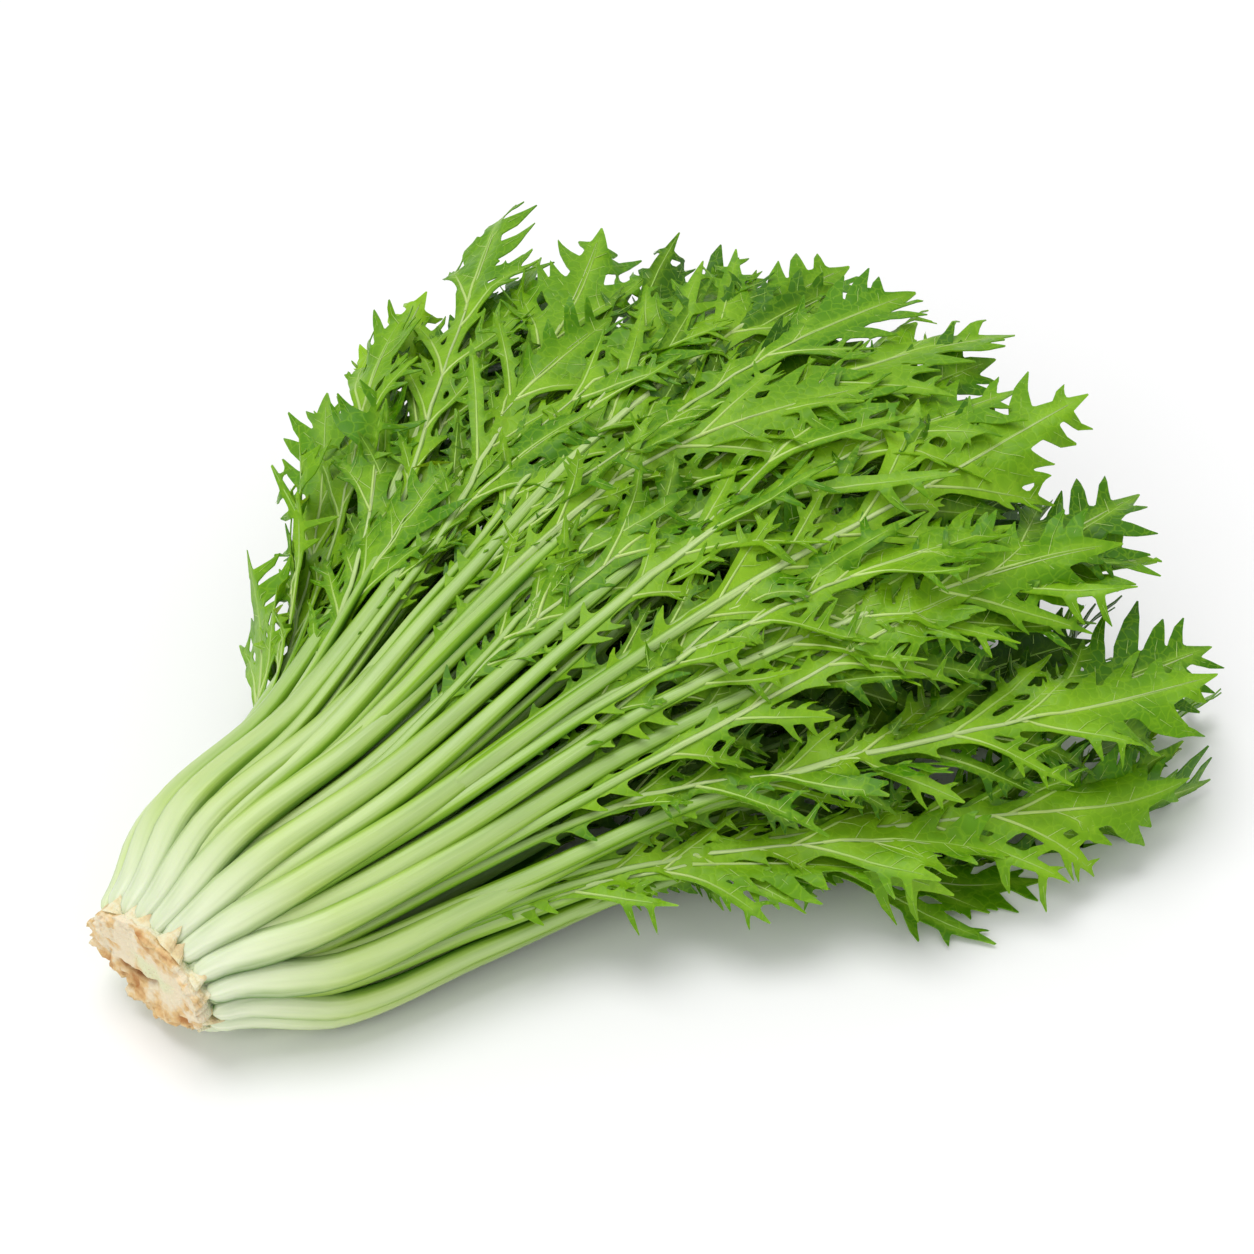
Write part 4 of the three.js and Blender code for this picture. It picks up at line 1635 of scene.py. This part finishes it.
@dataclass(frozen=True)
class CrownFinish(Surface):
    """The crown's cut: cream and damp, tan to brown where it has dried, greener at the pith."""

    name: str = "mizuna_crown"
    cream: Colour = colour("f0e2c2")
    pith: Colour = colour("e4e8bc")
    tan: Colour = colour("e8c68c")
    brown: Colour = colour("c28a4c")
    dark: Colour = colour("7c4a24")
    skin: Colour = colour("e6eec6")
    dots: Colour = colour("b89a66")
    patch_size: float = 130.0
    fibre_turn: tuple = (0.35, 0.1, 1.57)
    fibre_length: float = 70.0
    fibre_width: float = 520.0
    dot_size: float = 620.0
    roughness: float = 0.57
    uneven_gloss: float = 0.3
    light_share: float = 0.15
    light_colour: tuple = (1.0, 0.7, 0.4)
    light_depth: float = 0.002

    def inputs(self, pen: NodePen, place: object, groups: SharedGroups) -> dict:
        """Dries the cut in patches and along torn fibres; the look holds dryness, pith, skin and cleft.

        Args:
            pen: The pen for the material's tree.
            place: The texture coordinates.
            groups: The shared node groups.

        Returns:
            The shader's inputs, by name.
        """
        dry, pith, skin, cleft = pen.looks()
        mottle = pen.group(groups.mottle, place["Object"], Size=self.patch_size)
        turned = pen.add("ShaderNodeMapping", {"Vector": place["Object"], "Rotation": self.fibre_turn})
        fibres = pen.group(groups.streaks, turned.outputs[0], Along=self.fibre_length, Across=self.fibre_width)
        dried = pen.plus(pen.centred(mottle["Patch"]), 2.1, dry)
        dried = pen.plus(pen.centred(fibres["Streak"]), 1.1, dried)
        dots = pen.add("ShaderNodeTexVoronoi", {"Vector": place["Object"], "Scale": self.dot_size})
        dotted = pen.scale(dots.outputs["Distance"], 0.12, 0.26, 0.7, 0.0)
        base = pen.layers(
            pen.ramp(dried, (0.32, self.cream), (0.6, self.tan), (0.95, self.brown)),
            (pith, pen.mix(dotted, self.pith, self.dots)),
            (skin, self.skin),
            (cleft, self.dark),
        )
        bump = pen.bump(pen.math("ADD", mottle["Speck"], fibres["Streak"]), 0.7, 0.0009)
        return {"Base Color": base, "Roughness": self.gloss(pen, mottle["Speck"]), "Normal": bump}


@dataclass(frozen=True)
class TableFinish(Surface):
    """The pale, plain table."""

    name: str = "pale_table"
    tone: Colour = colour("f8f8f8")
    patch_size: float = 60.0
    roughness: float = 0.6

    def inputs(self, pen: NodePen, place: object, groups: SharedGroups) -> dict:
        """Gives the table its one colour; see Surface.inputs."""
        mottle = pen.group(groups.mottle, place["Object"], Size=self.patch_size)
        return {"Base Color": self.tone, "Roughness": self.gloss(pen, mottle["Speck"])}


class PieceTree:
    """Geometry nodes with named inputs, whose result becomes a piece's plain mesh."""

    def __init__(self, name: str, inputs: dict, material: Material) -> None:
        """Opens the tree and has it drawn.

        Args:
            name: The tree's name.
            inputs: For each input's name, its socket type and first value.
            material: The material of what the tree makes.
        """
        self.tree, pen, given, result = open_group(
            name, "GeometryNodeTree", inputs, {"Geometry": "NodeSocketGeometry"}
        )
        self.sockets = {item.name: item.identifier for item in self.tree.interface.items_tree if item.in_out == "INPUT"}
        pen.set(result, {"Geometry": self.draw(pen, given, material)})

    def draw(self, pen: NodePen, given: object, material: Material) -> Socket:
        """Adds the tree's nodes, which each tree does in its own way.

        Args:
            pen: The tree's pen.
            given: The tree's inputs.
            material: The material of what it makes.

        Returns:
            The geometry that it puts out.
        """
        raise NotImplementedError

    def apply(self, piece: bpy.types.Object, **values: float) -> None:
        """Runs the tree on a piece and keeps the result as its plain mesh.

        Args:
            piece: The piece.
            values: A value for each of the tree's named inputs.
        """
        modifier = piece.modifiers.new(self.tree.name, "NODES")
        modifier.node_group = self.tree
        for name, value in values.items():
            modifier[self.sockets[name]] = value
        graph = bpy.context.evaluated_depsgraph_get()
        made = bpy.data.meshes.new_from_object(piece.evaluated_get(graph))
        piece.modifiers.clear()
        drawn = piece.data
        piece.data = made
        bpy.data.meshes.remove(drawn)


class VeinSweep(PieceTree):
    """Turns a leaf's loose vein lines into round ribs and leaves its faces as they are."""

    def __init__(self, material: Material) -> None:
        """Builds the tree.

        Args:
            material: The ribs' material.
        """
        inputs = {
            "Leaf": ("NodeSocketGeometry", None),
            "Sides": ("NodeSocketInt", 5),
            "Thickness": ("NodeSocketFloat", 1.0),
        }
        super().__init__("vein_sweep", inputs, material)

    def draw(self, pen: NodePen, given: object, material: Material) -> Socket:
        """Sweeps a circle along the edges that have no face.

        Args:
            pen: The tree's pen.
            given: The tree's inputs.
            material: The material of what it makes.

        Returns:
            The geometry that it puts out.
        """
        neighbours = pen.add("GeometryNodeInputMeshEdgeNeighbors")
        loose = pen.add("FunctionNodeCompare", {"A": neighbours.outputs[0]}, data_type="INT", operation="EQUAL")
        parted = pen.add("GeometryNodeSeparateGeometry", {0: given["Leaf"], 1: loose.outputs[0]}, domain="EDGE")
        lines = pen.add("GeometryNodeMeshToCurve", {0: parted.outputs["Selection"]})
        half = pen.add("GeometryNodeInputNamedAttribute", {"Name": "vein_half"}, data_type="FLOAT")
        circle = pen.add("GeometryNodeCurvePrimitiveCircle", {"Resolution": given["Sides"], "Radius": 1.0})
        swept = pen.add(
            "GeometryNodeCurveToMesh",
            {
                "Curve": lines.outputs[0],
                "Profile Curve": circle.outputs[0],
                "Scale": pen.math("MULTIPLY", half.outputs["Attribute"], given["Thickness"]),
                "Fill Caps": True,
            },
        )
        dressed = pen.add("GeometryNodeSetMaterial", {"Geometry": swept.outputs[0], "Material": material})
        joined = pen.add("GeometryNodeJoinGeometry", {0: dressed.outputs[0]})
        pen.set(joined, {0: parted.outputs["Inverted"]})
        return pen.add("GeometryNodeRealizeInstances", {0: joined.outputs[0]}).outputs[0]


class StubSweep(PieceTree):
    """Sets the pointed, torn stub of a trimmed leaf on each seat point."""

    def __init__(self, material: Material) -> None:
        """Builds the tree.

        Args:
            material: The stubs' material.
        """
        inputs = {
            "Seats": ("NodeSocketGeometry", None),
            "Length": ("NodeSocketFloat", 0.01),
            "Width": ("NodeSocketFloat", 0.004),
            "Ragged": ("NodeSocketFloat", 0.001),
        }
        super().__init__("trimmed_stubs", inputs, material)

    def draw(self, pen: NodePen, given: object, material: Material) -> Socket:
        """Sets out cones by the seats' own turns and sizes, and tears them.

        Args:
            pen: The tree's pen.
            given: The tree's inputs.
            material: The material of what it makes.

        Returns:
            The geometry that it puts out.
        """
        cone = pen.add(
            "GeometryNodeMeshCone",
            {
                "Vertices": 14,
                "Side Segments": 7,
                "Fill Segments": 2,
                "Radius Top": 0.0,
                "Radius Bottom": given["Width"],
                "Depth": given["Length"],
            },
        )
        place = pen.add("GeometryNodeInputPosition").outputs[0]
        height = pen.add("ShaderNodeSeparateXYZ", {0: place}).outputs[2]
        dried = pen.scale(height, 0.0, given["Length"], 0.3, 0.85)
        look = pen.add("FunctionNodeCombineColor", {0: dried, 1: 0.0, 2: 0.35, 3: 0.0})
        dressed = pen.add(
            "GeometryNodeStoreNamedAttribute",
            {"Geometry": cone.outputs[0], "Name": "look", "Value": look.outputs[0]},
            data_type="FLOAT_COLOR",
            domain="POINT",
        )
        turn, size = (
            pen.add("GeometryNodeInputNamedAttribute", {"Name": name}, data_type="FLOAT_VECTOR").outputs["Attribute"]
            for name in ("turn", "size")
        )
        set_out = pen.add(
            "GeometryNodeInstanceOnPoints",
            {"Points": given["Seats"], "Instance": dressed.outputs[0], "Rotation": turn, "Scale": size},
        )
        real = pen.add("GeometryNodeRealizeInstances", {0: set_out.outputs[0]})
        cloud = pen.add("ShaderNodeTexNoise", {"Vector": place, "Scale": 260.0, "Detail": 3.0}).outputs["Color"]
        centred = pen.add("ShaderNodeVectorMath", {0: cloud, 1: (0.5, 0.5, 0.5)}, operation="SUBTRACT")
        spread = pen.add("ShaderNodeVectorMath", {0: centred.outputs[0], "Scale": given["Ragged"]}, operation="SCALE")
        torn = pen.add("GeometryNodeSetPosition", {"Geometry": real.outputs[0], "Offset": spread.outputs[0]})
        return pen.add("GeometryNodeSetMaterial", {"Geometry": torn.outputs[0], "Material": material}).outputs[0]


def add_piece(name: str, mesh: bpy.types.Mesh, materials: list[Material]) -> bpy.types.Object:
    """Puts a mesh into the scene as an object at the origin.

    Args:
        name: The object's name.
        mesh: Its mesh.
        materials: The mesh's materials.

    Returns:
        The object.
    """
    piece = bpy.data.objects.new(name, mesh)
    bpy.context.scene.collection.objects.link(piece)
    for material in materials:
        mesh.materials.append(material)
    return piece


def enlist(piece: bpy.types.Object, slot: Slot, *nodes: str) -> None:
    """Attaches a piece to the one body, hides the solids that it stands for and logs its triangles.

    Args:
        piece: The piece, which rides on the one body.
        slot: Not used.
        nodes: The solids that it stands for.
    """
    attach(piece, "root")
    if nodes:
        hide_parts(*nodes)
    piece.data.calc_loop_triangles()
    LOG.info("%s: %d triangles", piece.name, len(piece.data.loop_triangles))


@dataclass
class Foliage:
    """All the leaves of the bunch."""

    blade: Material
    stalk: Material
    sweep: VeinSweep
    vein_sides: int = 4
    vein_thickness: float = 1.0

    def build(self) -> None:
        """Builds each leaf over its solid."""
        for ring_index, ring in enumerate(RINGS + FILLING):
            for index in range(ring.count):
                self._leaf(LeafHabit(ring, ring_index, index))

    def _leaf(self, habit: LeafHabit) -> None:
        """Builds one leaf: blade, veins and stalk in one piece.

        Args:
            habit: How the leaf grows.
        """
        spine = Spine(habit)
        stock = MeshStock()
        blade = LeafBlade(habit, spine)
        blade.build(stock)
        StalkShape(habit, spine).build(stock, blade)
        extra = bool(habit.ring.prefix)
        name = f"{habit.name}_leaf" if extra else f"{habit.name}_grown"
        piece = add_piece(name, stock.mesh(habit.name), [self.blade, self.stalk])
        self.sweep.apply(piece, Sides=self.vein_sides, Thickness=self.vein_thickness)
        enlist(piece, habit.ring.slot, *([] if extra else [habit.name]))


@dataclass
class Crown:
    """The trimmed crown: a torn, dried cut with a paler pith, and the stubs of trimmed leaves behind its rim."""

    half_width: float = 26.5
    half_height: float = 17.2
    axis_height: float = 25.0
    face_at: float = -9.6
    back_at: float = 12.0
    rings: int = 40
    around: int = 200
    stubs: int = 19
    stub_length: float = 10.0
    stub_width: float = 4.2
    stub_ragged: float = 1.8
    seed: int = 11

    def build(self, material: Material) -> None:
        """Builds the cut with its skin, and the stubs round it."""
        self._cut(material)
        self._stubs(material)

    def _rim(self, angle: np.ndarray) -> np.ndarray:
        """Draws the cut's ragged outline.

        Args:
            angle: Angles round the cut.

        Returns:
            The outline there, as a share of the cut's ellipse.
        """
        bumps = 0.05 * np.abs(np.sin(angle * 6.5 + 0.6)) + 0.03 * np.sin(angle * 4 + 2)
        torn = np.array([noise.noise(Vector((math.cos(a) * 4, math.sin(a) * 4, 3.0))) for a in angle])
        fine = np.array([noise.noise(Vector((math.cos(a) * 16, math.sin(a) * 16, 7.0))) for a in angle])
        return 0.98 + bumps + 0.09 * torn + 0.05 * fine

    def _profile(self) -> list[tuple[float, float]]:
        """Lays out the rings of points: over the cut, round its edge and back along the skin.

        Returns:
            For each ring, its share of the cut's size and its place along the axis.
        """
        face = [(share, self.face_at) for share in np.linspace(0, 1, self.rings + 1)[1:]]
        edge = [(share, self.face_at + back) for share, back in ((1.01, 0.7), (0.99, 1.8), (0.94, 3.6), (0.88, 6.0))]
        return face + edge + [(0.86, 0.0), (0.8, 4.0), (0.5, 8.0), (0.2, self.back_at)]

    def _cut(self, material: Material) -> None:
        """Builds the cut and its skin as one closed mesh.

        Args:
            material: Its finish.
        """
        angle = np.arange(self.around) * 2 * math.pi / self.around
        rim = self._rim(angle)
        profile = self._profile()
        points, looks = [np.array([[self.face_at, 0, 0]])], [np.array([[0.2, 0.9, 0, 0]])]
        for k, (share, x) in enumerate(profile):
            y = self.half_width * share * np.cos(angle) * rim
            z = self.half_height * share * np.sin(angle) * rim
            behind = k - self.rings
            if behind < 0:
                relief = np.array([self._relief(a, b, share) for a, b in zip(y, z)])
                looks.append(self._face_looks(y, z, share, relief))
            else:
                relief = 0.6 * (points[-1][:, 0] - self.face_at) if behind == 0 else np.zeros_like(y)
                skin = 0.8 * smooth(behind, 0, 3)
                looks.append(looks_of(np.full_like(y, 0.5 if behind < 2 else 0.1), 0.0, skin, 0.0))
            points.append(np.stack([x + relief, y, z], -1))
        points.append(np.array([[self.back_at + 1.0, 0, 0]]))
        looks.append(np.array([[0.1, 0, 0.8, 0]]))
        place = np.concatenate(points)
        place[:, 2] = np.maximum(place[:, 2] + self.axis_height, 0.2)
        mesh = frame_mesh("crown_cut", place, [], self._faces(len(profile)))
        mesh.polygons.foreach_set("use_smooth", np.ones(len(mesh.polygons), bool))
        store(mesh, "look", "FLOAT_COLOR", np.clip(np.concatenate(looks), 0, 1))
        mesh.update()
        enlist(add_piece("crown_cut", mesh, [material]), Slot.CROWN, "crown")

    def _faces(self, rings: int) -> list[tuple]:
        """Joins rings of points, and a first and a last point, to one closed surface.

        Args:
            rings: The number of rings.

        Returns:
            The faces, which face outwards.
        """
        n = self.around
        faces = [(1 + (i + 1) % n, 1 + i, 0) for i in range(n)]
        for a in range(1, 1 + (rings - 1) * n, n):
            faces += [(a + (i + 1) % n, a + n + (i + 1) % n, a + n + i, a + i) for i in range(n)]
        last = 1 + (rings - 1) * n
        return faces + [(last + n, last + i, last + (i + 1) % n) for i in range(n)]

    def _face_looks(self, y: np.ndarray, z: np.ndarray, share: float, relief: np.ndarray) -> np.ndarray:
        """Works out what the finish reads on the cut itself.

        Args:
            y: Places across the cut.
            z: Heights above its middle.
            share: How far out they are.
            relief: How far the cut stands back or out there.

        Returns:
            Rows of dryness, pith, skin and cleft.
        """
        dry = 0.2 + smooth(share, 0.4, 1.0) * 0.42 + 0.1 * relief + 0.3 * self._patches(y, z)
        core = np.hypot((y + 2) / 11, (z - 0.5) / 6)
        return looks_of(dry, 0.85 * (1 - smooth(core, 0.55, 1.15)), 0.0, self._cleft(y, z))

    def _relief(self, y: float, z: float, share: float) -> float:
        """Works out the cut's torn, stepped surface.

        Args:
            y: A place across the cut.
            z: The height above its middle.
            share: How far out that is.

        Returns:
            How far the cut stands back or out there, in millimetres.
        """
        broad = noise.fractal(Vector((y / 8, z / 8, 1.3)), 1.0, 2.0, 3)
        torn = noise.ridged_multi_fractal(Vector((y / 11, z / 4.5, 4.0)), 1.0, 2.0, 4, 1.0, 2.0)
        step = noise.cell(Vector((y / 7 + 0.5 * broad, z / 5 + 0.7 * broad, 9.0)))
        edge = float(smooth(share, 0.5, 1.0))
        cleft = float(self._cleft(np.array([y]), np.array([z]))[0])
        return 1.3 * broad - (0.6 + 1.0 * edge) * (torn - 0.9) + 1.1 * step * edge + 3.6 * cleft - 0.8 * edge

    def _patches(self, y: np.ndarray, z: np.ndarray) -> np.ndarray:
        """Finds where the cut has dried most: a strip at the upper near edge and a torn flap at the lower far one.

        Args:
            y: Places across the cut.
            z: Heights above its middle.

        Returns:
            How dry it is there.
        """
        strip = np.exp(-(((z - 9.5 + 0.1 * y) / 3.2) ** 2)) * smooth(-y, -8, 12)
        flap = np.exp(-(((z + 11) / 4) ** 2)) * smooth(y, -12, 2)
        return strip + 1.3 * flap

    def _cleft(self, y: np.ndarray, z: np.ndarray) -> np.ndarray:
        """Draws the dark split in the cut's lower part.

        Args:
            y: Places across the cut.
            z: Heights above its middle.

        Returns:
            How far they lie in it, from 0 to 1.
        """
        along_split = (y - 6) / 10
        line = -6.5 + 2.5 * along_split**2 - 0.12 * y
        return np.exp(-(((z - line) / 1.2) ** 2)) * np.clip(1 - along_split**2, 0, 1)

    def _stubs(self, material: Material) -> None:
        """Sets the pointed stubs of trimmed leaves round the rim, between the stalks' feet.

        Args:
            material: Their finish.
        """
        random = RandomStream(self.seed)
        seats, turns, sizes = [], [], []
        for k in range(self.stubs):
            angle = (k + 0.5 + 0.3 * random.draw()) * 2 * math.pi / self.stubs
            out = Vector((0.0, math.cos(angle) / self.half_width, math.sin(angle) / self.half_height)).normalized()
            size = random.between(0.45, 1.0)
            at = 0.93 + 0.03 * random.draw()
            y, z = self.half_width * at * math.cos(angle), self.half_height * at * math.sin(angle)
            seats.append((self.face_at + 2.2, y, z + self.axis_height))
            aim = (out * random.between(0.45, 0.8) + Vector((random.between(0.5, 1.0), 0, 0))).normalized()
            turns.append(tuple(aim.to_track_quat("Z", "X").to_euler()))
            sizes.append((0.5, random.between(0.8, 1.2), size))
        mesh = frame_mesh("crown_stubs", np.array(seats), [], [])
        store(mesh, "turn", "FLOAT_VECTOR", turns)
        store(mesh, "size", "FLOAT_VECTOR", sizes)
        piece = add_piece("crown_stubs", mesh, [material])
        sizes = {"Length": self.stub_length, "Width": self.stub_width, "Ragged": self.stub_ragged}
        StubSweep(material).apply(piece, **{name: size * MILLIMETRE for name, size in sizes.items()})
        enlist(piece, Slot.CROWN)


@dataclass(frozen=True)
class SoftSun:
    """A soft light: where it comes from, how wide it is, in degrees, and how strong."""

    name: str
    azimuth: float
    elevation: float
    spread: float
    strength: float


@dataclass
class Studio:
    """The table, the soft lights and the camera at the photograph's viewing angle, in metres and degrees."""

    azimuth: float = -46.0
    elevation: float = 42.0
    distance: float = 1.0
    lens: float = 85.0
    sensor_width: float = 36.0
    target: tuple = (0.00603, -0.00143, 0.05871)
    surround: float = 0.6
    table_half: float = 12.0
    # A wide key from behind on the left, and a weaker fill on the cut.
    suns: tuple = (SoftSun("key_light", 178, 74, 40, 1.4), SoftSun("fill_light", -80, 34, 45, 0.65))

    def build(self, table: Material) -> None:
        """Builds the stage.

        Args:
            table: The table's finish.
        """
        self._table(table)
        self._camera()
        for sun in self.suns:
            light = bpy.data.lights.new(sun.name, "SUN")
            light.angle = math.radians(sun.spread)
            light.energy = sun.strength
            self._aim(light, sun.azimuth, sun.elevation, (0, 0, 0), 1.0)
        self._surround()
        bpy.context.scene.view_settings.view_transform = "Standard"

    def _table(self, material: Material) -> None:
        """Lays a wide plain table top under the bunch.

        Args:
            material: Its finish.
        """
        half = self.table_half
        mesh = bpy.data.meshes.new("table_top")
        mesh.from_pydata([(-half, -half, 0), (half, -half, 0), (half, half, 0), (-half, half, 0)], [], [(0, 1, 2, 3)])
        add_piece("table_top", mesh, [material])

    def _aim(self, data: bpy.types.ID, azimuth: float, elevation: float, target: tuple, distance: float) -> object:
        """Puts a camera or light into the scene, looking at a target.

        Args:
            data: The camera or light.
            azimuth: Where it stands round the target, from -Y.
            elevation: How high above it.
            target: What it looks at.
            distance: How far off it stands.

        Returns:
            The object.
        """
        a, e = math.radians(azimuth), math.radians(elevation)
        back = Vector((math.sin(a) * math.cos(e), -math.cos(a) * math.cos(e), math.sin(e)))
        piece = bpy.data.objects.new(data.name, data)
        bpy.context.scene.collection.objects.link(piece)
        piece.location = Vector(target) + back * distance
        piece.rotation_euler = back.to_track_quat("Z", "Y").to_euler()
        return piece

    def _camera(self) -> None:
        """Sets up the camera where the photographer's stood."""
        camera = bpy.data.cameras.new("camera")
        camera.lens = self.lens
        camera.sensor_width = self.sensor_width
        camera.clip_start = 0.01
        bpy.context.scene.camera = self._aim(camera, self.azimuth, self.elevation, self.target, self.distance)

    def _surround(self) -> None:
        """Puts everything in an even white surround."""
        world = bpy.data.worlds.new("white_surround")
        world.use_nodes = True
        NodePen(world.node_tree).set(
            world.node_tree.nodes["Background"], {"Color": (1, 1, 1, 1), "Strength": self.surround}
        )
        bpy.context.scene.world = world


def main() -> None:
    """Builds the crown, the leaves and the stage in order."""
    logging.basicConfig(level=logging.INFO, format="%(message)s")
    groups = SharedGroups(streak_group(), mottle_group(), vein_net_group())
    finishes = RibFinish(), CrownFinish(), BladeFinish(), StalkFinish(), TableFinish()
    rib, crown, blade, stalk, table = (finish.material(groups) for finish in finishes)
    Crown().build(crown)
    Foliage(blade, stalk, VeinSweep(rib)).build()
    Studio().build(table)


if __name__ == "__main__":
    main()
